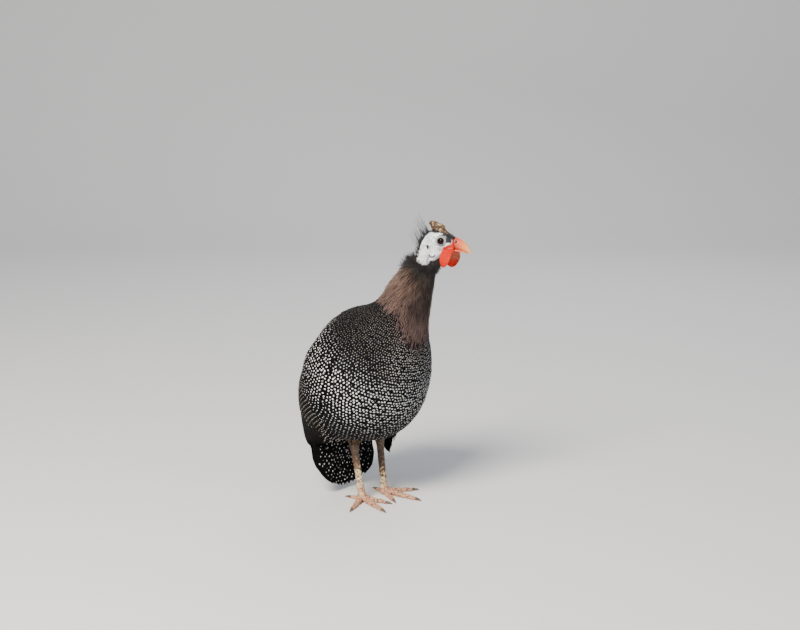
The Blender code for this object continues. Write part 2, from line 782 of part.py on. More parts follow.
def build_tail():
    vanes = []
    for face, count, start, end, step, lift in TAIL_TIERS.values():
        def spot(down, across, height, face=face):
            return tail_spot(down, across, height, face)

        spacing = 1.9 / count
        for k in range(count):
            centre = -0.95 + spacing * (k + 0.5)
            back = step * centre**2
            vanes.append(vane(spot, spacing, start - back, end - back, centre, lift))
    tail = combine(tail_core(), vanes, "UNION")
    cutters = [grown_torso(), *(swollen(wing_core(side, 1.06), VANE_CLEARANCE) for side in (1, -1))]
    tail = keep_largest(combine(tail, cutters, "DIFFERENCE"))
    finished(tail, "tail", "tail_feathers")


def centre_over_origin():
    """Puts the middle of the bird's outline over the origin, with the soles at height zero."""
    bpy.context.view_layer.update()
    solids = [obj for obj in bird.objects if obj.type == "MESH"]
    points = [obj.matrix_world @ vert.co for obj in solids for vert in obj.data.vertices]
    low = Vector([min(p[k] for p in points) for k in range(3)])
    high = Vector([max(p[k] for p in points) for k in range(3)])
    middle = empty_at("centre", Matrix())
    for obj in bird.objects:
        if obj.parent is None and obj is not middle:
            obj.parent = middle
    middle.location = (-(low.x + high.x) / 2, -(low.y + high.y) / 2, -low.z)


bird = bpy.data.collections.new("guinea_fowl")


def main():
    clear_scene()
    bpy.context.scene.collection.children.link(bird)
    build_torso()
    build_neck()
    build_head()
    for side, word in ((1, "left"), (-1, "right")):
        build_leg(side, word)
        build_wing(side, word)
    build_tail()
    centre_over_origin()


main()
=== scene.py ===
"""The looks of the helmeted guinea fowl: skin, every feather, the bare head, horn, bill, wattles and legs.

Sizes here are millimetres in the bird's own frame: it faces +X, its left is +Y, and the point midway between
its feet is the origin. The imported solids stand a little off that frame, and OFFSET says how far.
"""

import math

import bmesh
import bpy
import numpy as np
from mathutils import Matrix, Vector, noise
from mathutils.bvhtree import BVHTree


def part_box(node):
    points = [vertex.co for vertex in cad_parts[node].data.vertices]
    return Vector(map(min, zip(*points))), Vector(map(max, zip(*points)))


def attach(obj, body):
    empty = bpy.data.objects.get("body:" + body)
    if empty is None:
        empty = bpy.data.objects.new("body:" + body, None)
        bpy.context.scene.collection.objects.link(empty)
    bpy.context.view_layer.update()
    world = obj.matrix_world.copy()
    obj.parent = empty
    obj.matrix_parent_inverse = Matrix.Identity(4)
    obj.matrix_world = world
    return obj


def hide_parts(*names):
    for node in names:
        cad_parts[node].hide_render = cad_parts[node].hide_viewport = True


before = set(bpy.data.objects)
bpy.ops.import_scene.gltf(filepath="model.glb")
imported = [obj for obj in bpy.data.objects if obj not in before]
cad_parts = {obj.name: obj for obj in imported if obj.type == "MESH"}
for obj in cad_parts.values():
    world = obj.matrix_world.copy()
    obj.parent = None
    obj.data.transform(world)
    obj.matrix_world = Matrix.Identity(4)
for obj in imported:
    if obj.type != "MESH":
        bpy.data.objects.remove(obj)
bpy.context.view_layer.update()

MM = 0.001
SIDES = ((1, "left"), (-1, "right"))
rng = np.random.default_rng(7)

# The line of the body and neck, as in the solids: forward, left, up, half depth to back, to belly, half width
SPINE = np.array([
    (-72, 0, 74, 24, 11, 20),
    (-68, 0, 90, 40, 29, 42),
    (-57, 0, 112, 58, 52, 64),
    (-38, 0, 138, 77, 73, 82),
    (-12, 0, 166, 94, 82, 92),
    (12, 0, 196, 99, 74, 87),
    (34, 0, 226, 88, 58, 72),
    (51, 1, 253, 66, 42, 52),
    (63, 3, 277, 50, 31, 38),
    (72, 6, 299, 40, 25, 31),
    (80, 10, 320, 32, 19, 25),
    (85, 14, 338, 26, 15, 20),
    (88, 17, 350, 22, 13, 17),
], float)
# Stations count the rows of that line, from 0 at the rump to this one under the head
NECK_TOP = 12.0
# The point midway between the eyes, and how far the head is turned to its left
HEAD_PLACE = np.array((110, 29, 386.5))
HEAD_YAW = math.radians(25)

# The folded wing: station of the body, angle from the back in degrees, half width, stand-off
WING_ROWS = np.array([
    (5.9, 62, 16, 0),
    (5.2, 65, 38, 1),
    (4.3, 69, 50, 1.5),
    (3.3, 74, 53, 2),
    (2.3, 80, 48, 3),
    (1.4, 87, 34, 6),
    (0.75, 92, 12, 10),
], float)
# How far the free part of each wing hangs past the body's line, and its tip once more: forward, outwards, up
WING_DROOP = {1: (30, 16, -30), -1: (-2, 0, -4)}
TIP_DROOP = {1: (5, 3, -9), -1: (-2, 6, -7)}
# The wing's edges lie this far lower than the solid's, so they go under the feathers of the body
WING_TUCK = 5.0

# The tail: forward, up, half width, depth to the front and to the back
TAIL_ROWS = np.array([
    (-78, 104, 34, 22, 20),
    (-84, 84, 46, 24, 14),
    (-80, 62, 50, 22, 8),
    (-73, 40, 48, 10, 5),
    (-65, 20, 38, 4, 3),
    (-58, 4.0, 18, 1.5, 1.5),
], float)

eye_places = [sum(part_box(node), Vector()) / 2 for node in ("eye_left", "eye_right")]
OFFSET = np.array((eye_places[0] + eye_places[1]) / 2) / MM - HEAD_PLACE

# The rows of a staggered lattice lie this share of its gap apart
ROW_SHARE = 0.87
# One edge of each small feather lies this much higher than its middle, so that it laps over its neighbour
FEATHER_LAP = 0.22


# Numbers

def row_at(table, at):
    """A smooth curve through the rows of a table, read at row numbers with fractions."""
    last = len(table) - 1
    at = np.asarray(at, float)
    i = np.clip(np.floor(at).astype(int), 0, last - 1)
    t = (at - i)[..., None]
    a, b, c, d = (table[np.clip(i + k, 0, last)] for k in (-1, 0, 1, 2))
    return 0.5 * (2 * b + (c - a) * t + (2 * a - 5 * b + 4 * c - d) * t * t + (3 * b - a - 3 * c + d) * t**3)


def ease(x, low=0.0, high=1.0):
    """A step from 0 at low to 1 at high with soft ends."""
    x = np.clip((np.asarray(x, float) - low) / (high - low), 0, 1)
    return x * x * (3 - 2 * x)


def unit(v):
    """Vectors brought to a length of 1."""
    return v / np.maximum(np.linalg.norm(v, axis=-1, keepdims=True), 1e-9)


def body(at, angle, out):
    """A point of the body's outline, or a height out from it. Angle 0 is the back, 90 degrees the left."""
    row = row_at(SPINE, at)
    low = row_at(SPINE, np.maximum(at - 0.1, 0))
    high = row_at(SPINE, np.minimum(at + 0.1, NECK_TOP))
    along = unit(high[..., :3] - low[..., :3])
    left = unit(np.array((0, 1.0, 0)) - along * along[..., 1:2])
    back = np.cross(along, left)
    c, s = np.cos(angle)[..., None], np.sin(angle)[..., None]
    depth = np.where(c > 0, row[..., 3:4], row[..., 4:5])
    side = row[..., 5:6]
    off = unit(np.concatenate([c / depth, s / side], -1)) * np.asarray(out, float)[..., None]
    return row[..., :3] + back * (depth * c + off[..., :1]) + left * (side * s + off[..., 1:])


def wing_half(along):
    """Half the width of the wing along it, in millimetres."""
    return row_at(WING_ROWS, np.minimum(along, 1) * (len(WING_ROWS) - 1))[..., 2]


def wing_sheet(side):
    """The sheet of one wing: along from shoulder to tip, a share across, a height above the solid's core."""
    wing_hang, tip_hang = (np.array(droop[side]) * (1, side, 1) for droop in (WING_DROOP, TIP_DROOP))

    def place(along, across, height):
        row = row_at(WING_ROWS, along * (len(WING_ROWS) - 1))
        at, turn, off = row[..., 0], np.radians(row[..., 1]), row[..., 3]
        sizes = row_at(SPINE, at)[..., 3:6].mean(-1)
        turn = turn + across * wing_half(along) / (sizes + off)
        free = ease(along, 0.45, 0.85)
        crown = np.sqrt(np.maximum(1 - (across / 1.15) ** 2, 0.05))
        top = 1.0 + (3.4 - 2.2 * free) * crown
        tuck = WING_TUCK * ease(np.abs(across), 0.62, 1.0) * (1 - ease(along, 0.5, 0.8))
        tuck = np.maximum(tuck, WING_TUCK * (1 - ease(along, 0.0, 0.16)))
        droop = wing_hang * np.maximum(0, (along - 0.3) / 0.7)[..., None] ** 1.5
        tip = tip_hang * np.clip((along - 0.7) / 0.3, 0, 1)[..., None] ** 1.5
        return body(at, side * turn, off + top - tuck + height) + droop + tip
    return place


def tail_sheet(face):
    """One face of the tail, 1 the back, -1 the front: down, across, and a height above the solid's core."""
    def place(down, across, height):
        row = row_at(TAIL_ROWS, down * (len(TAIL_ROWS) - 1))
        forward, up, half, front, back = (row[..., k] for k in range(5))
        bulge = np.sqrt(np.maximum(1 - 0.94 * across * across, 0.02))
        depth = 1 + (back if face > 0 else front) * bulge + height
        x = forward + 12 * across * across - face * depth
        wide = half * across * (1 + 0.10 * ease(np.abs(across), 0.5, 1.0))
        return np.stack([x, wide, up + 0.12 * half * across * across], -1)
    return place


def measured(place, a, b, h=0.0):
    """The sheet's point, its two slopes and its outward normal at each place."""
    near = 1e-3
    h = np.broadcast_to(np.asarray(h, float), np.shape(a))
    here = place(a, b, h)
    slope_a = (place(a + near, b, h) - place(a - near, b, h)) / (2 * near)
    slope_b = (place(a, b + near, h) - place(a, b - near, h)) / (2 * near)
    return here, slope_a, slope_b, unit(place(a, b, h + 0.5) - here)


# Meshes

def linked(name, data):
    """A new object of the scene with its mesh, light or camera."""
    made = bpy.data.objects.new(name, data)
    bpy.context.scene.collection.objects.link(made)
    return made


def mesh_of(bm, name):
    """A mesh with all that a bmesh holds. The bmesh is freed."""
    mesh = bpy.data.meshes.new(name)
    bm.to_mesh(mesh)
    bm.free()
    return mesh


def made_mesh(name, points, faces, material, maps, tone):
    """A mesh object from arrays: points in millimetres, faces of one size, and maps and tone by point."""
    mesh = bpy.data.meshes.new(name)
    corners = faces.astype(np.int32).ravel()
    mesh.vertices.add(len(points))
    mesh.vertices.foreach_set("co", ((points + OFFSET) * MM).astype(np.float32).ravel())
    mesh.loops.add(len(corners))
    mesh.loops.foreach_set("vertex_index", corners)
    mesh.polygons.add(len(faces))
    mesh.polygons.foreach_set("loop_start", np.arange(0, len(corners), faces.shape[1], dtype=np.int32))
    mesh.update(calc_edges=True)
    for title, uv in maps:
        layer = mesh.uv_layers.new(name=title)
        layer.uv.foreach_set("vector", uv.astype(np.float32)[corners].ravel())
    mesh.attributes.new("tone", "FLOAT", "POINT").data.foreach_set("value", tone.astype(np.float32))
    mesh.shade_smooth()
    mesh.materials.append(material)
    return linked(name, mesh)


def vane_form(rows, columns):
    """The grid of one closed vane: along from 0 to 1, across from -1 to 1, its face 1 or -1, its quads."""
    t, s = np.meshgrid(np.asarray(rows, float), np.linspace(-1, 1, columns), indexing="ij")
    n, m = t.shape
    index = np.arange(n * m).reshape(n, m)
    top = np.stack([index[:-1, :-1], index[:-1, 1:], index[1:, 1:], index[1:, :-1]], -1).reshape(-1, 4)
    low = top[:, ::-1] + n * m
    rim = np.concatenate([index[0, :-1], index[:-1, -1], index[-1, :0:-1], index[:0:-1, 0]])
    after = np.roll(rim, -1)
    edge = np.stack([rim, rim + n * m, after + n * m, after], -1)
    face = np.concatenate([np.ones(n * m), -np.ones(n * m)])
    return np.tile(t.ravel(), 2), np.tile(s.ravel(), 2), face, np.concatenate([top, low, edge]), (n, m)


def many(points, quads):
    """Joins like pieces: points by piece and vertex, with one set of faces, turned outwards."""
    count, size = points.shape[:2]
    first = points[0][quads]
    facing = np.cross(first[:, 1] - first[:, 0], first[:, 2] - first[:, 0])
    if np.einsum("ij,ij->", first.mean(1) - points[0].mean(0), facing) < 0:
        quads = quads[:, ::-1]
    faces = (quads[None] + np.arange(count)[:, None, None] * size).reshape(-1, quads.shape[1])
    return points.reshape(-1, 3), faces


def upper_faces(points, quads, shape):
    """The upper points and faces of joined vanes, for laying spots on them."""
    n, m = shape
    faces = quads[: (n - 1) * (m - 1)][None] + np.arange(len(points))[:, None, None] * (n * m)
    return points[:, : n * m].reshape(-1, 3), faces.reshape(-1, 4)


def patches(count, size, places, t, s):
    """The bake's map: a patch 0.003 across for each small piece, at its root's place on the skin's unwrap."""
    local = np.stack([0.0014 * s, 0.0014 * (2 * t - 1)], -1)
    return (places[:, None] + local[None]).reshape(count * size, 2)


def feathers(name, place, roots, length, width, look, material, spread, lift, turn, tone=None, toward=-1,
             columns=5):
    """Small feathers laid along a sheet from their roots: on along it where toward is 1, or back.

    Look gives rows, outline, rise, camber, thickness and raggedness. Spread is their place on the bake's map.
    Gives back the piece and its upper faces.
    """
    rows, outline, rise, camber, thick, ragged = look
    t, s, face, quads, shape = vane_form(rows, columns)
    count, grid = len(roots), shape[0] * shape[1]
    a, b = roots[:, 0], roots[:, 1]
    _, slope_a, slope_b, normal = measured(place, a, b)
    lie = unit(slope_a) * toward
    lie = unit(lie - normal * np.einsum("ij,ij->i", lie, normal)[:, None])
    across = np.cross(lie, normal)
    c, d = np.cos(turn)[:, None], np.sin(turn)[:, None]
    lie, across = lie * c + across * d, across * c - lie * d
    share = np.interp(t, rows, outline)
    jag = np.tile(rng.uniform(-ragged, ragged, (count, grid)) * (t[:grid] > 0.6), 2)
    y = length[:, None] * (t + jag - 0.10 * t**3 * s * s)
    x = width[:, None] * (share * s)
    way = across[:, None] * x[..., None] + lie[:, None] * y[..., None]
    # Each way over the sheet as steps of its two coordinates
    aa, ab, bb = (np.einsum("ij,ij->i", one, other)[:, None] for one, other in (
        (slope_a, slope_a), (slope_a, slope_b), (slope_b, slope_b),
    ))
    on_a = np.einsum("ij,ikj->ik", slope_a, way)
    on_b = np.einsum("ij,ikj->ik", slope_b, way)
    det = aa * bb - ab**2
    da = (bb * on_a - ab * on_b) / det
    db = (aa * on_b - ab * on_a) / det
    height = np.interp(t, rows, rise) - camber * s * s + 0.5 * thick * face * (1.15 - 0.6 * t)
    height = height[None] + lift[:, None] * t[None] + FEATHER_LAP * s[None]
    points = place(a[:, None] + da, b[:, None] + db, height)
    flat, faces = many(points, quads)
    tone = rng.uniform(0, 1, count) if tone is None else tone
    local = np.stack([np.tile(0.5 + 0.5 * s * share, count), np.tile(t, count)], -1)
    maps = [("OFBake", patches(count, len(t), spread, t, s)), ("vane", local)]
    piece = made_mesh(name, flat, faces, material, maps, np.repeat(tone, len(t)))
    return piece, upper_faces(points, quads, shape)


# Where feathers and spots go

TURNS = np.linspace(-math.pi, math.pi, 121)
STATIONS = np.linspace(0.0, NECK_TOP, 361)
grid_at, grid_turn = np.meshgrid(STATIONS, TURNS, indexing="ij")
grid_points = body(grid_at, grid_turn, np.zeros_like(grid_at))
# Arc lengths over the body: up each line from the rump, and round each ring
up_steps = np.diff(grid_points, axis=0, prepend=grid_points[:1])
round_steps = np.diff(grid_points, axis=1, prepend=grid_points[:, :1])
line_reach = np.cumsum(np.linalg.norm(up_steps, axis=-1), axis=0)
ring_reach = np.cumsum(np.linalg.norm(round_steps, axis=-1), axis=1)
line_share = line_reach / line_reach[-1]


def body_lattice(spacing, low, high, start=0.0):
    """Evenly spread places on the body in staggered rings, with the gap by station in millimetres."""
    gaps = np.interp(STATIONS, *spacing)
    rows = np.cumsum(np.gradient(line_reach.mean(1)) / (ROW_SHARE * gaps))
    first, last = np.interp((low, high), STATIONS, rows)
    roots = []
    for count, row in enumerate(np.arange(first, last)):
        station = int(round(np.interp(row, rows, np.arange(len(STATIONS)))))
        around = ring_reach[station]
        steps = max(int(around[-1] / gaps[station]), 3)
        phase = (0.5 * (count % 2) + start + 0.12 * math.sin(count * 0.7)) % 1.0
        turns = np.interp((np.arange(steps) + phase) / steps * around[-1], around, TURNS)
        share = np.interp(row, rows, line_share.mean(1))
        column = (turns + math.pi) / (2 * math.pi) * (len(TURNS) - 1)
        left = np.clip(column.astype(int), 0, len(TURNS) - 2)
        for turn, k, f in zip(turns, left, column - left):
            line = line_share[:, k] * (1 - f) + line_share[:, k + 1] * f
            roots.append((np.interp(share, line, STATIONS), turn))
    return np.array(roots)


def sheet_lattice(place, gap, low, high, edge):
    """Evenly spread places on a wing or the tail in staggered rows, with the gap in millimetres."""
    roots = []
    row, a = 0, low
    while a < high:
        _, slope_a, slope_b, _ = measured(place, np.array([a]), np.array([0.0]))
        step_b = gap / np.linalg.norm(slope_b[0])
        steps = int(edge / step_b)
        across = [k * step_b + 0.5 * (row % 2) * step_b for k in range(-steps - 1, steps + 1)]
        roots += [(a, b) for b in across if abs(b) <= edge]
        a += ROW_SHARE * gap / np.linalg.norm(slope_a[0])
        row += 1
    return np.array(roots)


def under_wing(at, turn, share):
    """Whether a place of the body lies beneath a folded wing, out to a share of its half width."""
    steps = len(WING_ROWS) - 1
    row = row_at(WING_ROWS, np.interp(-at, -WING_ROWS[:, 0], np.linspace(0, 1, len(WING_ROWS))) * steps)
    sizes = row_at(SPINE, at)[..., 3:6].mean(-1)
    away = np.abs(np.abs(turn) - np.radians(row[..., 1])) * (sizes + row[..., 3])
    return (away < share * row[..., 2]) & (at < 5.6) & (at > 1.0)


def body_map(roots):
    """Places of the body on the bake's map: the turn across, the station up."""
    across = 0.02 + 0.96 * (roots[:, 1] + math.pi) / (2 * math.pi)
    return np.stack([across, 0.02 + 0.96 * roots[:, 0] / NECK_TOP], -1)


def sheet_map(roots):
    """Places of a wing or the tail on the bake's map."""
    return np.stack([0.5 + 0.46 * roots[:, 1], 0.04 + 0.9 * roots[:, 0]], -1)


class Cover:
    """The top faces of the feathers, for laying spots on them."""

    def __init__(self):
        self.points, self.faces, self.size = [], [], 0

    def add(self, top):
        points, faces = top
        self.points.append(points)
        self.faces.append(faces + self.size)
        self.size += len(points)

    def tree(self):
        points = np.concatenate(self.points).tolist()
        return BVHTree.FromPolygons(points, np.concatenate(self.faces).tolist())


def spots(name, cover, place, roots, radius, stretch, tone, spread, reach=7.0):
    """Pearl spots: thin round patches of white barbs, laid on the top of the feathers wherever that is."""
    here, slope_a, _, normal = measured(place, roots[:, 0], roots[:, 1])
    lie = unit(slope_a)
    sides = 12
    ring = np.arange(sides)
    circle = ring * 2 * math.pi / sides
    points, kept = [], []
    for k in range(len(roots)):
        n = Vector(normal[k])
        hit, facing, _, _ = cover.ray_cast(Vector(here[k]) + n * reach, -n, 2 * reach)
        if hit is None:
            continue
        across = Vector(lie[k]).cross(n).normalized()
        forward = n.cross(across)
        # The rim lies on its own feather's plane, and drapes over a neighbour that stands higher
        tilt = facing if facing.dot(n) > 0.8 else n
        wobble = 1 + 0.16 * np.sin(2 * circle + 6.28 * ((k * 0.618) % 1))
        rim = []
        for turn, r in zip(circle, wobble * radius[k]):
            out = across * (math.cos(turn) * r * stretch[k]) + forward * (math.sin(turn) * r)
            spot = hit + out - n * (out.dot(tilt) / n.dot(tilt))
            found, _, _, _ = cover.ray_cast(spot + n * 1.2, -n, 1.2)
            rim.append((found or spot) + n * 0.10)
        points.append([*rim, hit + n * (0.16 + 0.06 * radius[k]), hit - n * 0.35])
        kept.append(k)
    after = np.roll(ring, -1)
    top = np.stack([ring, after, np.full(sides, sides)], -1)
    low = np.stack([after, ring, np.full(sides, sides + 1)], -1)
    flat, faces = many(np.array(points), np.concatenate([top, low]))
    t = np.concatenate([0.5 + 0.5 * np.sin(circle), [0.5, 0.5]])
    s = np.concatenate([np.cos(circle), [0, 0]])
    maps = [("OFBake", patches(len(kept), sides + 2, spread[kept], t, s))]
    return made_mesh(name, flat, faces, pearl, maps, np.repeat(tone[kept], sides + 2))


# Finishes

def srgb(code):
    """A hex colour as linear red, green, blue and alpha."""
    parts = [int(code[k:k + 2], 16) / 255 for k in (1, 3, 5)]
    return (*(c / 12.92 if c <= 0.04045 else ((c + 0.055) / 1.055) ** 2.4 for c in parts), 1)


def node(tree, kind, inputs=(), out=0, stops=(), **settings):
    """Adds a shader node and gives back one of its outputs.

    Inputs go by name or number, or in order in a tuple, and each is a number, a hex colour or another output.
    Stops are the places along a ramp, each with a hex colour or a grey from 0 to 1.
    """
    made = tree.nodes.new("ShaderNode" + kind)
    for key, value in settings.items():
        setattr(made, key, value)
    for key, value in inputs.items() if isinstance(inputs, dict) else enumerate(inputs):
        if isinstance(value, bpy.types.NodeSocket):
            tree.links.new(value, made.inputs[key])
        else:
            made.inputs[key].default_value = srgb(value) if isinstance(value, str) else value
    band = made.color_ramp.elements if stops else []
    while len(band) < len(stops):
        band.new(0.5)
    for element, (place, shade) in zip(band, stops):
        element.position = place
        element.color = srgb(shade) if isinstance(shade, str) else (shade, shade, shade, 1)
    return made.outputs[out]


# What a Mix node needs for colours. Its share is input 0, and its two colours are 6 and 7.
COLOURS = {"out": 2, "data_type": "RGBA"}


def finish(name, roughness, **constants):
    """A new material with its shader's constants set. Gives back the material and its nodes."""
    material = bpy.data.materials.new(name)
    material.use_nodes = True
    shader = material.node_tree.nodes["Principled BSDF"]
    shader.inputs["Roughness"].default_value = roughness
    for key, value in constants.items():
        shader.inputs[key.replace("_", " ")].default_value = value
    return material, material.node_tree


def coated(material, colour, height=None, depth_mm=0.0, strength=0.0):
    """Links a finish's colour to its shader, and its relief of a depth in millimetres."""
    tree = material.node_tree
    shader = tree.nodes["Principled BSDF"]
    tree.links.new(colour, shader.inputs["Base Color"])
    if height is not None:
        bump = node(tree, "Bump", {"Height": height, "Distance": depth_mm * MM, "Strength": strength})
        tree.links.new(bump, shader.inputs["Normal"])
    return material


def noise_at(tree, size_mm, detail, stretch=(1, 1, 1)):
    """Noise on Object coordinates whose lumps are about a size in millimetres."""
    place = node(tree, "Mapping", {"Vector": node(tree, "TexCoord", out="Object"), "Scale": stretch})
    return node(tree, "TexNoise", {"Vector": place, "Scale": 1 / (size_mm * MM), "Detail": detail}, "Fac")


def barbs(tree, along):
    """The fine slanting lines of a feather's barbs, from its own map: the lines, how far a place is from the
    shaft, and how far along it."""
    across = node(tree, "SeparateXYZ", (node(tree, "UVMap", out="UV", uv_map="vane"),), "X")
    t = across.node.outputs["Y"]
    off = node(tree, "Math", (across, 0.5), operation="SUBTRACT")
    away = node(tree, "Math", (off,), operation="ABSOLUTE")
    lean = node(tree, "Math", (away, 0.8), operation="MULTIPLY")
    slant = node(tree, "Math", (t, lean), operation="SUBTRACT")
    turns = node(tree, "Math", (slant, along * 2 * math.pi), operation="MULTIPLY")
    return node(tree, "Math", (turns,), operation="SINE"), away, t


# The grey dots between the pearls lie this many millimetres apart, as coarse as they need to be to show
FLECK_GAP = 1.1


def feather_finish(name, dark, mid, edge, sheen=0.01, roughness=0.8, along=22.0, cast=None, fleck=None):
    """Keratin barbs: soft, matt, darker by the shaft, paler where the edge frays.

    Cast tints the lower ones, and fleck peppers them with the fine grey dots between the pearls.
    """
    material, tree = finish(
        name, roughness, Sheen_Weight=sheen, Sheen_Roughness=0.45, Specular_IOR_Level=0.06,
    )
    lines, away, t = barbs(tree, along)
    tone = node(tree, "Attribute", out="Fac", attribute_name="tone")
    colour = node(tree, "Mix", {0: tone, 6: dark, 7: mid}, **COLOURS)
    fray = node(tree, "ValToRGB", (away,), stops=((0.0, 0.0), (0.36, 0.0), (0.5, 0.75)))
    tip = node(tree, "ValToRGB", (t,), stops=((0.0, 0.0), (0.84, 0.0), (1.0, 0.55)))
    rim = node(tree, "Math", (fray, tip), operation="MAXIMUM")
    colour = node(tree, "Mix", {0: rim, 6: colour, 7: edge}, **COLOURS)
    if fleck:
        cells = node(tree, "TexVoronoi", {
            "Vector": node(tree, "TexCoord", out="Object"), "Scale": 1 / (FLECK_GAP * MM),
        }, "Distance")
        dots = node(tree, "ValToRGB", (cells,), stops=((0.0, 0.9), (0.22, 0.8), (0.32, 0.0)))
        colour = node(tree, "Mix", {0: dots, 6: colour, 7: fleck}, **COLOURS)
    streak = node(tree, "Math", (lines, 0.10, 0.90), operation="MULTIPLY_ADD")
    streak = node(tree, "CombineColor", (streak, streak, streak))
    colour = node(tree, "Mix", {0: 1.0, 6: colour, 7: streak}, blend_type="MULTIPLY", **COLOURS)
    if cast:
        low, high, tint = cast
        up = node(tree, "SeparateXYZ", (node(tree, "TexCoord", out="Object"),), "Z")
        share = node(tree, "MapRange", (up, low * MM, high * MM, 1.0, 0.0))
        colour = node(tree, "Mix", {0: share, 6: colour, 7: tint}, blend_type="MULTIPLY", **COLOURS)
    return coated(material, colour, lines, 0.12, 0.5)


# Nearly black barbs with grey edges on body, wings and tail, browner in the flight feathers, lilac to brown
# on the neck, and warm brown on the thighs
body_feather = feather_finish("slate_feather", "#030304", "#09090b", "#27272c", fleck="#3a3a41")
wing_feather = feather_finish("wing_feather", "#020203", "#070708", "#1b1b1f", 0.0, fleck="#26262b")
flight_feather = feather_finish("flight_feather", "#060505", "#0d0b0a", "#1f1a16", 0.0, 0.8, 60.0)
tail_feather = feather_finish("tail_feather", "#040405", "#08080a", "#111113", 0.0, 0.75, 40.0)
hackle_feather = feather_finish(
    "lilac_hackle", "#15100f", "#765d52", "#877369", 0.08, 0.75, 12.0, (275, 340, "#cfd0ea"),
)
thigh_feather = feather_finish("thigh_feather", "#1a140f", "#66523f", "#84705a", 0.1, 0.7, 10.0)


def pearl_finish():
    """White barbs without pigment: matt and soft, greyer then browner where the tone is low, partly painted
    shade and a painted warm reflection.
    """
    material, tree = finish("pearl_barbs", 0.75, Sheen_Weight=0.15)
    tone = node(tree, "Attribute", out="Fac", attribute_name="tone")
    return coated(material, node(tree, "ValToRGB", (tone,), stops=(
        (0.0, "#4a4038"), (0.3, "#83796d"), (0.5, "#a3a3a3"), (0.75, "#d5d6d6"), (1.0, "#fbfbf8"),
    )))


pearl = pearl_finish()

# A feather's look: rows along the vane, its outline, its rise from root to tip, camber, thickness, raggedness
CONTOUR = (
    [0, 0.25, 0.5, 0.72, 0.89, 1.0], [0.5, 0.85, 1.0, 0.97, 0.78, 0.36],
    [-4.2, -3.0, -1.8, -0.9, -0.45, -0.35], 0.7, 0.34, 0.02,
)
COVERT = (
    [0, 0.25, 0.5, 0.72, 0.89, 1.0], [0.5, 0.85, 1.0, 0.95, 0.74, 0.34],
    [-3.4, -2.2, -0.8, 0.2, 0.7, 0.8], 0.7, 0.34, 0.02,
)
HACKLE = (
    [0, 0.3, 0.6, 0.85, 1.0], [0.6, 1.0, 0.8, 0.42, 0.06],
    [-3.6, -2.2, -1.0, -0.3, -0.1], 0.5, 0.28, 0.03,
)
# Their full length and half width
CONTOUR_SIZE, COVERT_SIZE, HACKLE_SIZE, THIGH_SIZE = (25, 8.6), (23, 8.2), (17, 1.9), (11, 2.6)
# How far apart the wing's coverts stand, and the spots of wing and tail
COVERT_GAP, WING_SPOT_GAP, TAIL_SPOT_GAP = 10.0, 5.9, 6.6


# Feathers and pearls

# Where the plain neck ends, by the turn from the back in degrees: lower on the breast
COLLAR = ([0, 60, 104, 122, 141, 157, 180], [7.9, 8.05, 8.15, 7.7, 7.25, 6.95, 6.75])


def collar_line(turn):
    """The station where the tips of the neck's plain feathers end."""
    return np.interp(np.degrees(np.abs(turn)), *COLLAR)


def build_body_coat(cover):
    """The body's contour feathers, smallest towards the neck. Those that lap over the wings stand higher."""
    roots = body_lattice(([0, 1.5, 5, 6.6, 7.6, 9.2], [10.5, 11.5, 11.0, 9.5, 8.0, 6.0]), 0.12, 9.3)
    roots = roots[~under_wing(roots[:, 0], roots[:, 1], 0.5)]
    roots = roots[roots[:, 0] < collar_line(roots[:, 1]) + 1.1]
    at, around = roots.T
    size = np.interp(at, [0, 1.5, 5, 7.6, 9.2], [0.95, 1.05, 1.0, 0.75, 0.55])
    length = CONTOUR_SIZE[0] * size * rng.uniform(0.93, 1.07, len(roots))
    width = CONTOUR_SIZE[1] * size * rng.uniform(0.95, 1.05, len(roots))
    turn = rng.normal(0, 0.06, len(roots))
    lift = rng.uniform(-0.25, 0.25, len(roots))
    laps = under_wing(at - 0.9, around, 1.0) & ~under_wing(at, around, 0.85) & (at > 3.2)
    lift = lift + 2.6 * laps
    tone = rng.uniform(0, 1, len(roots))
    pieces = []
    middle = np.abs(around) < math.pi / 2
    for word, part in (("back", middle), ("belly", ~middle)):
        piece, top = feathers(
            "body_feathers_" + word, body, roots[part], length[part], width[part], CONTOUR, body_feather,
            body_map(roots[part]), lift[part], turn[part], tone[part],
        )
        cover.add(top)
        pieces.append(piece)
    return pieces


def nape_swell(at, turn):
    """How far the loose feathers behind the head stand out from the neck, in millimetres."""
    return 6.5 * ease(at, 8.4, 10.5) * (1 - 0.45 * ease(at, 11.2, 12.0)) * ease(-np.abs(turn), -2.2, -1.2)


def neck_tone(at, turn):
    """How light the neck is: warm and pale up the back, dark down the front, near black under the head."""
    away = math.pi - np.abs(turn)
    light = 0.24 + 0.54 * ease(away, 0.15, 1.8) + 0.25 * ease(turn, 2.0, 2.4) * ease(-turn, -2.9, -2.5)
    top = 1 - 0.80 * ease(at, 9.9 + 0.6 * ease(away, 1.3, 2.2), 11.4 + 0.5 * ease(away, 1.3, 2.2))
    light = light * top + 0.48 * ease(-at, -9.3, -8.0) * (1 - 0.65 * ease(away, 0.4, 1.6))
    patch = np.array([noise.noise(Vector((a * 1.6, b * 2.6, 3.0))) for a, b in zip(at, turn)])
    return light + 0.32 * patch + rng.normal(0, 0.13, len(at))


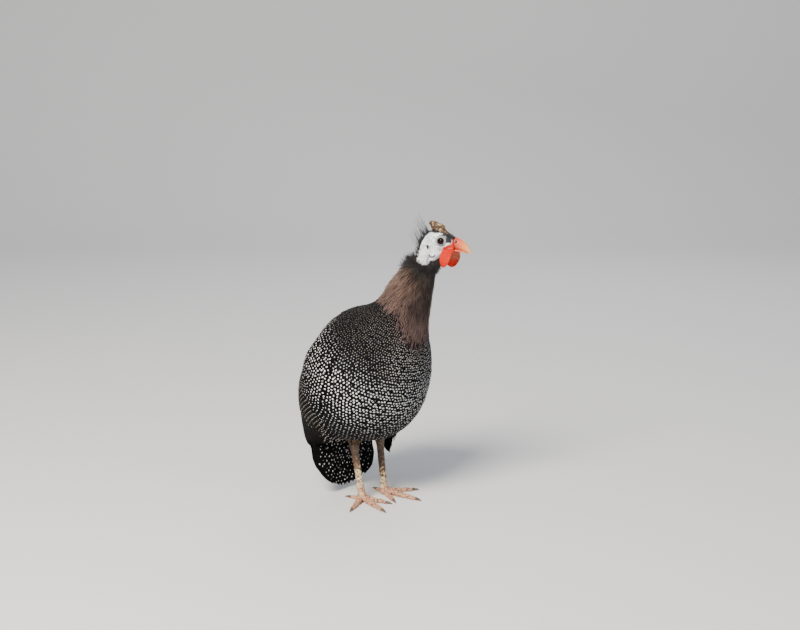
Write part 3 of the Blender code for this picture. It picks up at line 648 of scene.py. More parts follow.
def build_neck_coat():
    """The neck's narrow plain feathers, and the loose barbs that stray from them."""
    roots = body_lattice(([7, 8, 10, 12], [4.3, 3.9, 3.2, 2.7]), 7.3, 11.95, 1.3)
    start = collar_line(roots[:, 1]) + 0.62 + rng.uniform(-0.1, 0.1, len(roots))
    roots = roots[roots[:, 0] > start]
    at, turn = roots.T
    count = len(roots)
    size = np.interp(at, [6.5, 8, 10, 12], [1.2, 1.05, 0.85, 0.6])
    length = HACKLE_SIZE[0] * size * rng.uniform(0.8, 1.15, count)
    width = HACKLE_SIZE[1] * size * rng.uniform(0.85, 1.1, count)
    lift = rng.uniform(-0.2, 0.9, count) + nape_swell(at, turn)
    piece, _ = feathers(
        "neck_hackles", body, roots, length, width, HACKLE, hackle_feather, body_map(roots), lift,
        rng.normal(0, 0.10, count), np.clip(neck_tone(at, turn), 0, 1), columns=3,
    )
    roots = body_lattice(([7, 8, 10, 12], [4.4, 4.0, 3.3, 2.8]), 7.3, 11.95, 2.9)
    roots = roots[roots[:, 0] > collar_line(roots[:, 1]) + 0.5]
    at, turn = roots.T
    count = len(roots)
    here, slope, _, normal = measured(body, at, turn, 0.2)
    here = here + normal * nape_swell(at, turn)[:, None]
    way = -unit(slope) + normal * rng.uniform(0.02, 0.14, (count, 1)) + rng.normal(0, 0.10, (count, 3))
    bend = -normal * rng.uniform(0.0, 0.10, (count, 1))
    stems = list(zip(here, way, bend, rng.uniform(7, 14, count)))
    tone = np.clip(neck_tone(at, turn) + 0.08, 0, 1)
    stray = bristles("neck_barbs", stems, neck_barb, 0.16, 4, tone, body_map(roots))
    return [piece, stray]


def long_vanes(name, place, rows, material):
    """Flight or tail feathers, a row of numbers for each.

    A row gives the start and end along the sheet, the place and half width across it, how far the tip slants
    across, how much it rises, and how far one edge stands over the next feather.
    """
    t, s, face, quads, shape = vane_form([0, 0.12, 0.26, 0.4, 0.54, 0.68, 0.8, 0.9, 0.96, 1.0], 5)
    outline = np.interp(t, [0, 0.12, 0.4, 0.8, 0.9, 0.96, 1.0], [0.55, 0.8, 1.0, 0.92, 0.74, 0.5, 0.2])
    rise = np.interp(t, [0, 0.3, 0.7, 1.0], [-2.0, 0.1, 1.1, 1.6])
    thickness = 0.5
    grid = shape[0] * shape[1]
    points, tones = [], []
    for start, end, centre, half, slant, lift, lap in rows:
        tones.append(rng.uniform())
        jag = rng.uniform(-0.008, 0.008, grid) * (t[:grid] > 0.6)
        along = start + (end - start) * (t + np.tile(jag, 2) - 0.05 * t**3 * s * s)
        across = centre + slant * t + half * outline * s
        height = rise * lift - 0.6 * s * s + lap * s * outline + 0.5 * thickness * face * (1.2 - 0.6 * t)
        points.append(place(along, across, height))
    points = np.array(points)
    flat, faces = many(points, quads)
    count = len(points)
    spread = sheet_map(np.array([(start, centre) for start, _, centre, *_ in rows]))
    local = np.stack([np.tile(0.5 + 0.5 * s * outline, count), np.tile(t, count)], -1)
    maps = [("OFBake", patches(count, len(t), spread, t, s)), ("vane", local)]
    piece = made_mesh(name, flat, faces, material, maps, np.repeat(np.array(tones), len(t)))
    return piece, upper_faces(points, quads, shape)


def bed(name, top, low, material, span_a, span_b, counts):
    """The closed body of skin and down that the feathers of a wing or tail stand on, between two sheets."""
    n, m = counts
    a, b = np.meshgrid(np.linspace(*span_a, n), np.linspace(*span_b, m), indexing="ij")
    t, s, _, quads, _ = vane_form(np.linspace(0, 1, n), m)
    sheets = np.concatenate([sheet(a.ravel(), b.ravel()) for sheet in (top, low)])
    flat, faces = many(sheets[None], quads)
    uv = np.stack([0.5 + 0.49 * s, 0.01 + 0.98 * t], -1) * 0.49
    uv[:n * m] += 0.505
    maps = [("OFBake", uv), ("vane", np.stack([0.5 + 0.2 * s, 0.5 * t], -1))]
    return made_mesh(name, flat, faces, material, maps, np.full(len(flat), 0.3))


def build_wing(side, word, cover):
    """A folded wing: its bed, its flight feathers and greater coverts, and the small coverts over them."""
    place = wing_sheet(side)
    down = bed(
        "wing_bed_" + word, lambda a, b: place(a, b, np.full_like(a, -2.2)),
        lambda a, b: place(a, b, -3.4 - 5.0 * (1 - ease(a, 0.35, 0.8))), wing_feather,
        (0.0, 0.86), (-0.93, 0.93), (24, 13),
    )
    rows = []
    for k in range(7):
        c = -0.80 + 1.5 * k / 6
        end = 1.05 - 0.06 * abs(c + 0.2) - 0.012 * k
        rows.append((0.72 - 0.05 * c * c, end, c * 0.8, 0.30, 0.10 * (0.3 - c), 0.7, -0.9))
    for k in range(11):
        c = -0.93 + 1.86 * k / 10
        rows.append((0.44, 0.90 - 0.10 * c * c, c, 0.20, 0.0, 1.0, -0.8))
    for k in range(10):
        c = -0.92 + 1.84 * k / 9
        rows.append((0.36, 0.70 - 0.06 * c * c, c, 0.19, 0.0, 1.6, -0.7))
    flight, top = long_vanes("wing_flight_" + word, place, rows, flight_feather)
    cover.add(top)
    roots = sheet_lattice(place, COVERT_GAP, 0.03, 0.52, 0.95)
    count = len(roots)
    lift = rng.uniform(-0.25, 0.25, count) + 1.2 * ease(roots[:, 0], 0.3, 0.5)
    length = COVERT_SIZE[0] * rng.uniform(0.93, 1.07, count)
    width = COVERT_SIZE[1] * rng.uniform(0.95, 1.05, count)
    coverts, top = feathers(
        "wing_coverts_" + word, place, roots, length, width, COVERT, wing_feather, sheet_map(roots), lift,
        rng.normal(0, 0.06, count), toward=1,
    )
    cover.add(top)
    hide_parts("wing_" + word)
    return [down, flight, coverts]


def build_tail(cover):
    """The hanging tail: its bed, then tiers of feathers on the back face and on the front face under it."""
    front, back = tail_sheet(-1), tail_sheet(1)
    core = bed(
        "tail_bed", lambda a, b: back(a, b, np.full_like(a, -1.5)),
        lambda a, b: front(a, b, np.full_like(a, -1.5)), tail_feather, (0.0, 0.84), (-0.92, 0.92), (18, 15),
    )
    pieces = [core]
    for face, place, word in ((1, back, "upper"), (-1, front, "under")):
        rows = []
        if face > 0:
            for k in range(12):
                c = -0.92 + 1.84 * k / 11
                rows.append((0.40, 1.0 - 0.11 * c * c - 0.012 * (k % 2), c, 0.17, -0.04 * c, 0.9, 0.7))
        for level, count in enumerate((9, 10, 9)):
            start = 0.04 + 0.16 * level
            for k in range(count):
                c = -0.92 + 1.84 * (k + 0.25 * (level % 2)) / (count - 0.5)
                end = start + 0.40 - 0.06 * c * c + (0.12 if face < 0 else 0.0)
                rows.append((start, end, c, 0.17, 0.0, 1.2, 0.7))
        if face < 0:
            for k in range(9):
                c = -0.9 + 1.8 * k / 8
                rows.append((0.46, 0.96 - 0.12 * c * c, c, 0.18, 0.0, 0.5, 0.6))
        piece, top = long_vanes("tail_feathers_" + word, place, rows, tail_feather)
        cover.add(top)
        pieces.append(piece)
    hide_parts("tail")
    return pieces


# Where a wing's own spots take over from those of the body: the station, and the share along the wing
SPOT_HANDOVER = (3.3, 0.5)


def build_body_spots(tree):
    """The pearls of the body and the wings' front in one run of rows, finer and dimmer towards the neck."""
    spacing = ([0, 1, 4.2, 5.4, 6.4, 7.2, 8.4], [5.6, 5.5, 5.3, 4.8, 3.9, 3.4, 3.1])
    roots = body_lattice(spacing, 0.1, 8.4, 0.4)
    roots += rng.normal(0, 1, roots.shape) * (0.016, 0.0055)
    at, turn = roots.T
    roots = roots[(at < collar_line(turn) + 0.25) & ((at > SPOT_HANDOVER[0]) | ~under_wing(at, turn, 0.80))]
    at, turn = roots.T
    gap = np.interp(at, *spacing)
    belly = ease(np.abs(turn), 1.9, 2.7)
    shoulder = ease(at, 4.9, 6.3) * (1 - 0.75 * belly)
    rump = ease(-at, -4.9, -3.0) * (1 - 0.3 * belly)
    topside = ease(-np.abs(turn), -1.6, -0.7)
    radius = gap * (0.252 - 0.100 * shoulder - 0.035 * belly - 0.125 * rump - 0.03 * topside)
    radius = radius * rng.uniform(0.80, 1.15, len(roots))
    stretch = 1.05 + 0.45 * belly
    # Painted shade: the tone dims the spots on the belly and rump, and low tones turn brown as a painted warm
    # reflection
    tone = 1.0 - 0.62 * shoulder - 0.36 * belly - (0.38 + 0.10 * topside) * rump - 0.20 * topside
    tone = tone + rng.normal(0, 0.06, len(roots))
    tone = np.clip(tone - 0.1 * ease(at - collar_line(turn), -0.8, 0.2), 0.05, 1)
    middle = np.abs(turn) < math.pi / 2
    return [spots(
        "pearl_spots_" + word, tree, body, roots[part], radius[part], stretch[part], tone[part],
        body_map(roots[part]), 14.0,
    ) for word, part in (("back", middle), ("belly", ~middle))]


def build_wing_spots(tree, side, word):
    """The pearls of a wing's rear, stretched to short bars towards its tip."""
    place = wing_sheet(side)
    roots = sheet_lattice(place, WING_SPOT_GAP, SPOT_HANDOVER[1], 0.86, 0.97)
    roots = roots[rng.uniform(0, 1, len(roots)) >= ease(roots[:, 0], 0.58, 0.74)]
    free = ease(roots[:, 0], 0.40, 0.62)
    radius = (0.80 - 0.34 * free) * rng.uniform(0.8, 1.15, len(roots))
    tone = np.clip(0.50 - 0.22 * free + rng.normal(0, 0.06, len(roots)), 0, 1)
    return spots(
        "pearl_spots_wing_" + word, tree, place, roots, radius, 1.1 + 1.1 * free, tone, sheet_map(roots), 9.0,
    )


def build_tail_spots(tree, face, word):
    """The pearls of one face of the tail, which lie less evenly."""
    place = tail_sheet(face)
    roots = sheet_lattice(place, TAIL_SPOT_GAP, 0.06, 0.97, 0.97)
    roots += rng.normal(0, 1, roots.shape) * (0.010, 0.016)
    radius = rng.uniform(0.65, 1.35, len(roots))
    tone = np.clip(rng.normal(0.62, 0.10, len(roots)), 0, 1)
    stretch = np.full(len(roots), 0.9)
    return spots("pearl_spots_tail_" + word, tree, place, roots, radius, stretch, tone, sheet_map(roots))


def build_spots(cover):
    """Every pearl, laid on the feathers that are there by now."""
    tree = cover.tree()
    on_body = build_body_spots(tree)
    on_wings = [build_wing_spots(tree, side, word) for side, word in SIDES]
    on_tail = [build_tail_spots(tree, face, word) for face, word in ((1, "upper"), (-1, "under"))]
    for pieces, slot in ((on_body, "body_feathers"), (on_wings, "wing_feathers"), (on_tail, "tail_feathers")):
        for piece in pieces:
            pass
    return on_body + on_wings + on_tail


# Skin, horn and legs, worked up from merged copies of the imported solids

def refined(nodes, grain, smoothing=2, shrink=0.0):
    """A bmesh of some solids in one closed skin of small even faces, in millimetres of the bird's frame."""
    bm = bmesh.new()
    for name in nodes:
        bm.from_mesh(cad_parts[name].data)
    bmesh.ops.remove_doubles(bm, verts=bm.verts, dist=1e-6)
    rough = linked("rough", mesh_of(bm, "rough"))
    remesh = rough.modifiers.new("even", "REMESH")
    remesh.mode = "VOXEL"
    remesh.voxel_size = grain * MM
    bpy.context.view_layer.update()
    even = bpy.data.meshes.new_from_object(rough.evaluated_get(bpy.context.evaluated_depsgraph_get()))
    bpy.data.objects.remove(rough)
    bm = bmesh.new()
    bm.from_mesh(even)
    bpy.data.meshes.remove(even)
    bmesh.ops.scale(bm, verts=bm.verts, vec=(1 / MM,) * 3)
    bmesh.ops.translate(bm, verts=bm.verts, vec=-Vector(OFFSET))
    for _ in range(smoothing):
        bmesh.ops.smooth_vert(
            bm, verts=bm.verts, factor=0.5, use_axis_x=True, use_axis_y=True, use_axis_z=True,
        )
    bm.normal_update()
    if shrink:
        carved(bm, lambda co, n: -shrink)
    return bm


def to_head(point):
    """A point in the head's own frame: x to the bill, y to its left, z up, from between the eyes."""
    x, y, z = (point[k] - HEAD_PLACE[k] for k in range(3))
    c, s = math.cos(HEAD_YAW), math.sin(HEAD_YAW)
    return Vector((x * c + y * s, y * c - x * s, z))


def from_head(point):
    """A point of the head's own frame in the bird's frame."""
    x, y, z = point
    c, s = math.cos(HEAD_YAW), math.sin(HEAD_YAW)
    return Vector((x * c - y * s, x * s + y * c, z)) + Vector(HEAD_PLACE)


def step(x, low, high):
    """A soft step of one number."""
    x = min(max((x - low) / (high - low), 0), 1)
    return x * x * (3 - 2 * x)


def carved(bm, relief):
    """Moves each vertex along its normal by what relief gives for its place and normal, in millimetres."""
    moves = [(vert, vert.normal * relief(vert.co, vert.normal)) for vert in bm.verts]
    for vert, move in moves:
        vert.co += move
    bm.normal_update()


def painted(bm, marks):
    """Writes values on the vertices, each from its place and normal."""
    for title, mark in marks.items():
        layer = bm.verts.layers.float.new(title)
        for vert in bm.verts:
            vert[layer] = mark(vert.co, vert.normal)


def piece_from(bm, name, material):
    """The finished object of a bmesh in millimetres of the bird's frame."""
    bmesh.ops.translate(bm, verts=bm.verts, vec=Vector(OFFSET))
    bmesh.ops.scale(bm, verts=bm.verts, vec=(MM,) * 3)
    mesh = mesh_of(bm, name)
    mesh.shade_smooth()
    mesh.materials.append(material)
    piece = linked(name, mesh)
    return piece


def lumps(point, size, seed=0.0):
    """Noise from about -1 to 1 with lumps of a size in millimetres."""
    return noise.noise(Vector(point) / size + Vector((seed, seed * 1.7, seed * 0.6)))


# Places on each side of the head, in its own frame: the middle of the eye, the eyeball's radius and how far
# out it sits, the ear hole and the white lobe with their sizes, and the arc of the cheek's fold
EYE_X, EYE_Z = 0.3, 0.3
EYEBALL, EYE_OUT = 6.0, 8.2
EAR, EAR_SIZE = (-18.8, 12.6, -9.5), (2.1, 3, 3.6)
LAPPET, LAPPET_SIZE = (-24.5, 13.5, -24), (10.5, 8.0, 11.0)
FOLD_X, FOLD_Z, FOLD_REACH = -12, -18.0, 5.0


def eye_distance(p):
    """How far a place of the face is from the middle of its eye, seen from the side."""
    return math.hypot(p.x - EYE_X, p.z - EYE_Z) if abs(p.y) > 5 else 30.0


def eye_rings(r):
    """How dark the skin is at a distance from the eye's middle: a black rim, a grey lid, a thin dark ring."""
    rim = 1 - step(r, 4.7, 5.5)
    line = 0.85 * (1 - step(abs(r - 6.9), 0.3, 0.8))
    lid = 0.55 * (1 - step(r, 7.0, 8.6))
    return max(rim, line, lid)


def oval(p, middle, size):
    """How far a place is from the middle of an oval patch on its side of the head, 1 at the patch's edge."""
    place = (p.x, abs(p.y), p.z)
    return math.sqrt(sum(((a - b) / c) ** 2 for a, b, c in zip(place, middle, size)))


def lappet_share(p):
    """1 on the crinkled white lobe behind and below the ear."""
    return 1 - step(oval(p, LAPPET, LAPPET_SIZE), 0.88, 1.08)


def fold_line(p):
    """The curved fold low on the cheek: how far a place is outside its arc, and how much it counts there."""
    outside = math.hypot(p.x - FOLD_X, p.z - FOLD_Z) - FOLD_REACH
    return outside, step(-p.z, 18.0, 20.0) * step(abs(p.y), 5, 8)


def dark_share(p):
    """1 where the bare head is black: lore, brow, crown and nape, ring of the eye, throat, and painted shade
    at the ear and in the fold.
    """
    edge = 0.9 * lumps(p, 2.5, 4)
    lore = step(p.x + edge, 5.0, 7.0) * step(p.z + edge, -3.4, -1.8)
    lore *= 1 - step(p.x + edge, 13.4, 14.8) * step(-p.z, -3, 0)
    brow = step(p.x + edge, -0.5, 2.5) * step(p.z + edge, 5.6, 7.2)
    crown = step(p.z + edge, 9.5, 11.5) * step(p.x, -22.0, -17.0)
    nape = (1 - step(abs(p.y) + edge, 3.0, 6.0)) * step(p.z, -8.0, 2.0) * (1 - step(p.x, -12.0, -8.0))
    # Painted shade: the ear's opening is a dark patch on the skin, not a hole
    ear = 1 - step(oval(p, EAR, EAR_SIZE) + 0.4 * edge, 0.7, 1.2)
    outside, counts = fold_line(p)
    lip = counts * (1 - step(abs(outside - 2.0), 1.8, 3.0))
    throat = (1 - step(p.z + 1.5 * edge, -23.0, -20.0)) * (1 - max(lappet_share(p), lip))
    # Painted shade in the groove of the cheek's fold, above its lip
    fold = 0.95 * counts * (1 - step(abs(outside + 0.6), 0.5, 1.5))
    fleck = 0.8 * step(lumps(p, 1.9, 12), 0.42, 0.60)
    return min(max(lore, brow, crown, nape, ear, throat, fold, eye_rings(eye_distance(p)), fleck), 1)


def red_share(p):
    """1 on the red skin round the corner of the mouth and the base of the bill."""
    edge = 0.8 * lumps(p, 3.0, 9)
    line = -9.0 + 0.5 * (p.x - 2)
    low = (1 - step(p.z + edge, line - 1.2, line + 1.2)) * step(p.x + edge, 1.0, 4.0) * step(p.z, -22, -19)
    cere = step(p.x + edge, 13.6, 15.2) * (1 - step(p.z, 2.0, 5.0))
    return max(low, cere)


def crease(p):
    """1 along the fine net of creases of the bare skin, 0 on the pads between."""
    net = max(0, 1 - abs(lumps(p, 5.0, 3)) / 0.11, 0.8 - abs(lumps(p, 3.1, 7)) / 0.10)
    return net * (1 - step(p.x, 2.0, 8.0) * 0.8)


def head_relief(co, normal):
    """How far the bare skin stands out: pads, warts at the back, rings round the eye, the lip of the fold."""
    p = to_head(co)
    r = eye_distance(p)
    calm = step(r, 6.0, 9.5)
    pads = 0.55 * lumps(p, 4.5, 1) + 0.25 * lumps(p, 2.2, 2)
    back = (1 - step(p.x, -17, -9)) * step(p.z, -36, -30) * (1 - step(p.z, 2, 6))
    warts = back * (2.2 * abs(lumps(p, 3.6, 5)) - 0.35)
    rings = 0.22 * math.sin(r * 3.6) * (1 - step(r, 8.0, 10.0)) * step(r, 5.6, 6.4)
    outside, counts = fold_line(p)
    lip = 0.9 * (1 - step(abs(outside - 2.0), 0.6, 2.2)) - 0.9 * (1 - step(abs(outside + 0.6), 0.4, 1.5))
    return calm * (pads + warts - 0.6 * crease(p)) + rings + counts * lip


def build_skin():
    """One skin for torso, neck, thighs and head. Under the feathers it lies deeper by their roots' depth.

    Gives back the skin, a tree for finding places on the bare head, and the roots of the throat's plumes.
    """
    bm = refined(["torso", "neck", "thigh_left", "thigh_right"], grain=3.2, shrink=3.6)
    painted(bm, {title: lambda co, n, value=value: value for title, value in (
        ("dark", 0.0), ("red", 0.0), ("under", 1.0), ("hollow", 0.0),
    )})
    low = mesh_of(bm, "low")
    bm = refined(["head"], grain=0.72)
    carved(bm, head_relief)
    painted(bm, {
        "dark": lambda co, n: dark_share(to_head(co)),
        "red": lambda co, n: red_share(to_head(co)),
        "under": lambda co, n: 0.0,
        # The hollow mark: where painted shade darkens the bare skin, in its creases and low places
        "hollow": lambda co, n: min(crease(to_head(co)) + max(0, -lumps(to_head(co), 4.5, 1)), 1),
    })
    plumes = []
    for vert in bm.verts:
        p = to_head(vert.co)
        bare = max(lappet_share(p), 1 - step(-p.z, 22, 24) if p.x > -27 else 0)
        if (p.z < -21 or p.x < -27) and dark_share(p) > 0.6 and bare < 0.5 and rng.uniform() < 0.28:
            plumes.append((np.array(vert.co), np.array(vert.normal)))
    head = BVHTree.FromBMesh(bm)
    bm.from_mesh(low)
    bpy.data.meshes.remove(low)
    skin = piece_from(bm, "skin", skin_finish())
    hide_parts("torso", "neck", "thigh_left", "thigh_right", "head")
    return skin, head, plumes


def met_head(head, point, way):
    """Where a line in the head's own frame first meets the bare head, or None."""
    start = from_head(point)
    return head.ray_cast(start, from_head([a + b for a, b in zip(point, way)]) - start)[0]


def skin_finish():
    """Bare living skin: white with a blue cast, matt and crinkled, black and red in its patches, blue grey in
    its creases as painted shade.
    """
    material, tree = finish("bare_skin", 0.55, Specular_IOR_Level=0.35)
    hollow, red, dark, under = (
        node(tree, "Attribute", out="Fac", attribute_name=mark) for mark in ("hollow", "red", "dark", "under")
    )
    grain = noise_at(tree, 1.6, 4)
    white = node(tree, "ValToRGB", (grain,), stops=((0.25, "#ccd4de"), (0.5, "#eef2f6"), (0.8, "#fcfcfd")))
    # Painted shade: blue grey in the creases and hollows of the bare skin
    painted_hollow_shade = node(tree, "Math", (hollow, 0.85), operation="MULTIPLY")
    colour = node(tree, "Mix", {0: painted_hollow_shade, 6: white, 7: "#647186"}, **COLOURS)
    flush = node(tree, "ValToRGB", (noise_at(tree, 1.2, 3),), stops=(
        (0.2, "#961508"), (0.55, "#c02a12"), (0.9, "#dc6142"),
    ))
    colour = node(tree, "Mix", {0: red, 6: colour, 7: flush}, **COLOURS)
    black = node(tree, "ValToRGB", (grain,), stops=((0.2, "#08080b"), (0.65, "#15151b"), (0.95, "#3b3d47")))
    colour = node(tree, "Mix", {0: dark, 6: colour, 7: black}, **COLOURS)
    colour = node(tree, "Mix", {0: under, 6: colour, 7: "#1d1c1e"}, **COLOURS)
    return coated(material, colour, noise_at(tree, 0.7, 4), 0.25, 0.6)


def eye_finish(word):
    """The wet eye: a clear glossy cornea over a dark brown iris with fine streaks, and a black pupil."""
    material, tree = finish(
        "eye_" + word, 0.16, Coat_Weight=0.06, Coat_Roughness=0.02, Specular_IOR_Level=0.12,
    )
    away = node(tree, "Attribute", out="Fac", attribute_name="from_axis")
    reach = node(tree, "Math", (away, EYEBALL), operation="DIVIDE")
    iris = node(tree, "ValToRGB", (reach,), stops=(
        (0.0, "#030202"), (0.40, "#040303"), (0.45, "#220c07"), (0.58, "#2e130b"), (0.68, "#0d0605"),
        (1.0, "#080505"),
    ))
    streak = node(tree, "Math", (noise_at(tree, 0.7, 2), 0.25), operation="MULTIPLY")
    return coated(material, node(tree, "Mix", {0: streak, 6: iris, 7: "#1a0a06"}, **COLOURS))


def build_eye(side, word):
    """The eyeball with its brown iris and black pupil, rings of faces about its axis, and a slight cornea."""
    axis = Vector((0.12, side, 0.08)).normalized()
    bm = bmesh.new()
    bmesh.ops.create_uvsphere(bm, u_segments=48, v_segments=40, radius=EYEBALL)
    layer = bm.verts.layers.float.new("from_axis")
    for vert in bm.verts:
        vert[layer] = math.hypot(vert.co.x, vert.co.y) if vert.co.z > 0 else EYEBALL
        vert.co.z += 0.35 * (1 - step(vert[layer], 0.0, 4.2)) if vert.co.z > 0 else 0
    turn = axis.to_track_quat("Z", "X").to_matrix()
    for vert in bm.verts:
        vert.co = from_head(turn @ vert.co + Vector((0, side * EYE_OUT, 0)))
    eye = piece_from(bm, "eyeball_" + word, eye_finish(word))
    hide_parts("eye_" + word)
    return eye


# The lids' ring round the eye, from its inner edge on the eyeball to its outer edge under the skin
LID_INNER, LID_OUTER = 4.15, 8.6


def socket_edge(head, side, turn):
    """How far out the bare head stands at the outer edge of the lids, at a turn round the eye."""
    start = (EYE_X + LID_OUTER * math.cos(turn), side * 40, EYE_Z + LID_OUTER * math.sin(turn))
    return abs(to_head(met_head(head, start, (0, -side, 0))).y)


def build_lids(side, word, material, head):
    """The lids: a ring of thin wrinkled skin from the eyeball out over the edge of the socket."""
    around, rows, thickness = 64, 12, 0.9
    turns = [2 * math.pi * j / around for j in range(around)]
    inner = EYE_OUT + math.sqrt(EYEBALL**2 - LID_INNER**2) + 0.25
    edges = [socket_edge(head, side, turn) - 0.5 for turn in turns]
    bm = bmesh.new()
    dark = bm.verts.layers.float.new("dark")
    for title in ("red", "under", "hollow"):
        bm.verts.layers.float.new(title)
    # Rings of the outer face from the eye outwards, then those of the inner face back to it
    rings = []
    for face, k in [(1, k) for k in range(rows + 1)] + [(-1, k) for k in reversed(range(rows + 1))]:
        f = k / rows
        radius = LID_INNER + (LID_OUTER - LID_INNER) * f
        ring = []
        for turn, edge in zip(turns, edges):
            swell = math.sin(math.pi * min(f * 1.5, 1)) + 0.16 * math.sin(f * 21 + 0.8 * math.sin(turn * 3))
            y = inner + (edge - inner) * f + swell * (1 - 0.4 * f) - (0.0 if face > 0 else thickness)
            squash = 1 - 0.10 * (1 - f) * abs(math.sin(turn))
            place = (EYE_X + radius * math.cos(turn), side * y, EYE_Z + radius * math.sin(turn) * squash)
            ring.append(bm.verts.new(from_head(place)))
            ring[-1][dark] = eye_rings(radius)
        rings.append(ring)
    for ring, after in zip(rings, rings[1:] + rings[:1]):
        for j in range(around):
            bm.faces.new((ring[j], ring[(j + 1) % around], after[(j + 1) % around], after[j]))
    bmesh.ops.recalc_face_normals(bm, faces=bm.faces)
    return piece_from(bm, "lids_" + word, material)


def casque_lumps(co, normal):
    """The knobs and pits of the helmet's horn."""
    p = to_head(co)
    return 1.1 * lumps(p, 4.2, 1) + 1.3 * abs(lumps(p, 2.4, 2)) - 0.45 + 0.25 * lumps(p, 1.1, 5)


def crest_front(co, normal):
    """The front of the crest stands a little fuller than the solid."""
    p = to_head(co)
    return 2.2 * step(p.x, -9.0, -2.0) * step(p.z, 14.0, 19.0) * step(normal.z, 0.1, 0.6)


def build_casque():
    """The helmet: rough horn over bone, knobbed and pitted, tan with dark brown hollows, where the darkening
    is painted shade.
    """
    bm = refined(["casque"], grain=0.7)
    painted(bm, {"hollow": casque_lumps})
    carved(bm, lambda co, n: 0.8 * casque_lumps(co, n) + crest_front(co, n))
    material, tree = finish("casque_horn", 0.62)
    hollow = node(tree, "Attribute", out="Fac", attribute_name="hollow")
    # Painted shade: the horn is darker in the pits and paler on the knobs of its carved relief, and the noise
    # adds its own mottle
    painted_hollow_shade = node(tree, "Math", (hollow, 0.45, 0.35), operation="MULTIPLY_ADD")
    spread = node(tree, "Math", (noise_at(tree, 1.3, 4), 0.9, -0.45), operation="MULTIPLY_ADD")
    colour = node(tree, "ValToRGB", (node(tree, "Math", (painted_hollow_shade, spread), operation="ADD"),), stops=(
        (0.05, "#150e08"), (0.30, "#3d2a18"), (0.44, "#7d5f3f"), (0.60, "#ab8d63"), (0.88, "#d8c6a2"),
    ))
    coated(material, colour, noise_at(tree, 0.6, 4), 0.4, 0.7)
    piece = piece_from(bm, "casque_helmet", material)
    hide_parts("casque")
    return piece


def bill_finish():
    """Horn of the bill: flesh red at its base, orange pink in the middle, pale at the tip, faintly uneven,
    its nostril painted shade.
    """
    material, tree = finish("bill_horn", 0.38, Coat_Weight=0.15, Coat_Roughness=0.3)
    along, dark = (node(tree, "Attribute", out="Fac", attribute_name=title) for title in ("along", "dark"))
    spread = node(tree, "Math", (noise_at(tree, 3.5, 3), 0.22, -0.11), operation="MULTIPLY_ADD")
    colour = node(tree, "ValToRGB", (node(tree, "Math", (along, spread), operation="ADD"),), stops=(
        (0.0, "#b5281a"), (0.2, "#ca4429"), (0.4, "#de6b3a"), (0.62, "#e5894f"), (0.84, "#e0a06b"),
        (1.0, "#dcbc8c"),
    ))
    # Painted shade: the nostril is a dark slit painted on the horn, not an opening
    colour = node(tree, "Mix", {0: dark, 6: colour, 7: "#2a0f0c"}, **COLOURS)
    return coated(material, colour, noise_at(tree, 0.9, 3), 0.15, 0.5)


def nostril(co, n):
    """1 in the nostril, a slit that leans back on each side of the upper bill, painted dark as painted shade.
    """
    p = to_head(co)
    return 1 - step(math.hypot((p.x - 19.8 + 0.3 * p.z) / 1.5, (p.z + 0.6) / 2.7), 0.7, 1.25)


def build_bill():
    """Both halves of the bill, with their horn very slightly uneven."""
    material = bill_finish()
    pieces = []
    for word, dark in (("upper", nostril), ("lower", lambda co, n: 0.0)):
        bm = refined(["bill_" + word], grain=0.55, smoothing=3)
        carved(bm, lambda co, n: 0.10 * lumps(to_head(co), 2.2, 7))
        painted(bm, {"along": lambda co, n: (to_head(co).x - 17) / 24, "dark": dark})
        piece = piece_from(bm, "bill_horn_" + word, material)
        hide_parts("bill_" + word)
        pieces.append(piece)
    return pieces


def wattle_finish():
    """Soft red skin, finely grained and matt, yellower in the cup of the inner face and darker there as
    painted shade.
    """
    material, tree = finish("wattle_skin", 0.55, Specular_IOR_Level=0.2)
    inner = node(tree, "Attribute", out="Fac", attribute_name="inner")
    red = node(tree, "ValToRGB", (noise_at(tree, 2.4, 4),), stops=(
        (0.2, "#8c1206"), (0.45, "#b81c07"), (0.7, "#c62a0d"), (0.95, "#dd5a30"),
    ))
    # Painted shade: the cup facing the other wattle is browner and darker than the red
    cup = node(tree, "ValToRGB", (noise_at(tree, 2.0, 3),), stops=((0.3, "#7a321c"), (0.7, "#bd7350")))
    colour = node(tree, "Mix", {0: inner, 6: red, 7: cup}, **COLOURS)
    return coated(material, colour, noise_at(tree, 0.6, 4), 0.2, 0.6)


def build_wattles():
    """The two wattles, which hang from the corners of the mouth."""
    material = wattle_finish()
    pieces = []
    for side, word in SIDES:
        def inner(co, n, side=side):
            """1 in the cup of the face that is turned to the other wattle, where painted shade falls."""
            p = to_head(co)
            facing = step(-side * (to_head(co + n) - p).y, 0.45, 0.85)
            return 0.85 * facing * (1 - step(p.z, -16, -12)) * step(p.z + 2 * lumps(p, 3), -33, -27)

        bm = refined(["wattle_" + word], grain=0.6)
        carved(bm, lambda co, n: 0.22 * lumps(to_head(co), 2.2, 3) + 0.10 * lumps(to_head(co), 1.1, 8))
        painted(bm, {"inner": inner})
        piece = piece_from(bm, "wattle_lobe_" + word, material)
        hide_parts("wattle_" + word)
        pieces.append(piece)
    return pieces


# The fine scales' width, how far each foot stands from the middle, the height where the shank passes into the
# toes, the scutes' lengths on both, and the leg's height
SCALE_WIDTH = 1.5
FOOT_OUT = 22.5
TOES_END = 13
SHANK_SCUTE, TOE_SCUTE = 4.2, 3.4
LEG_HEIGHT = 85


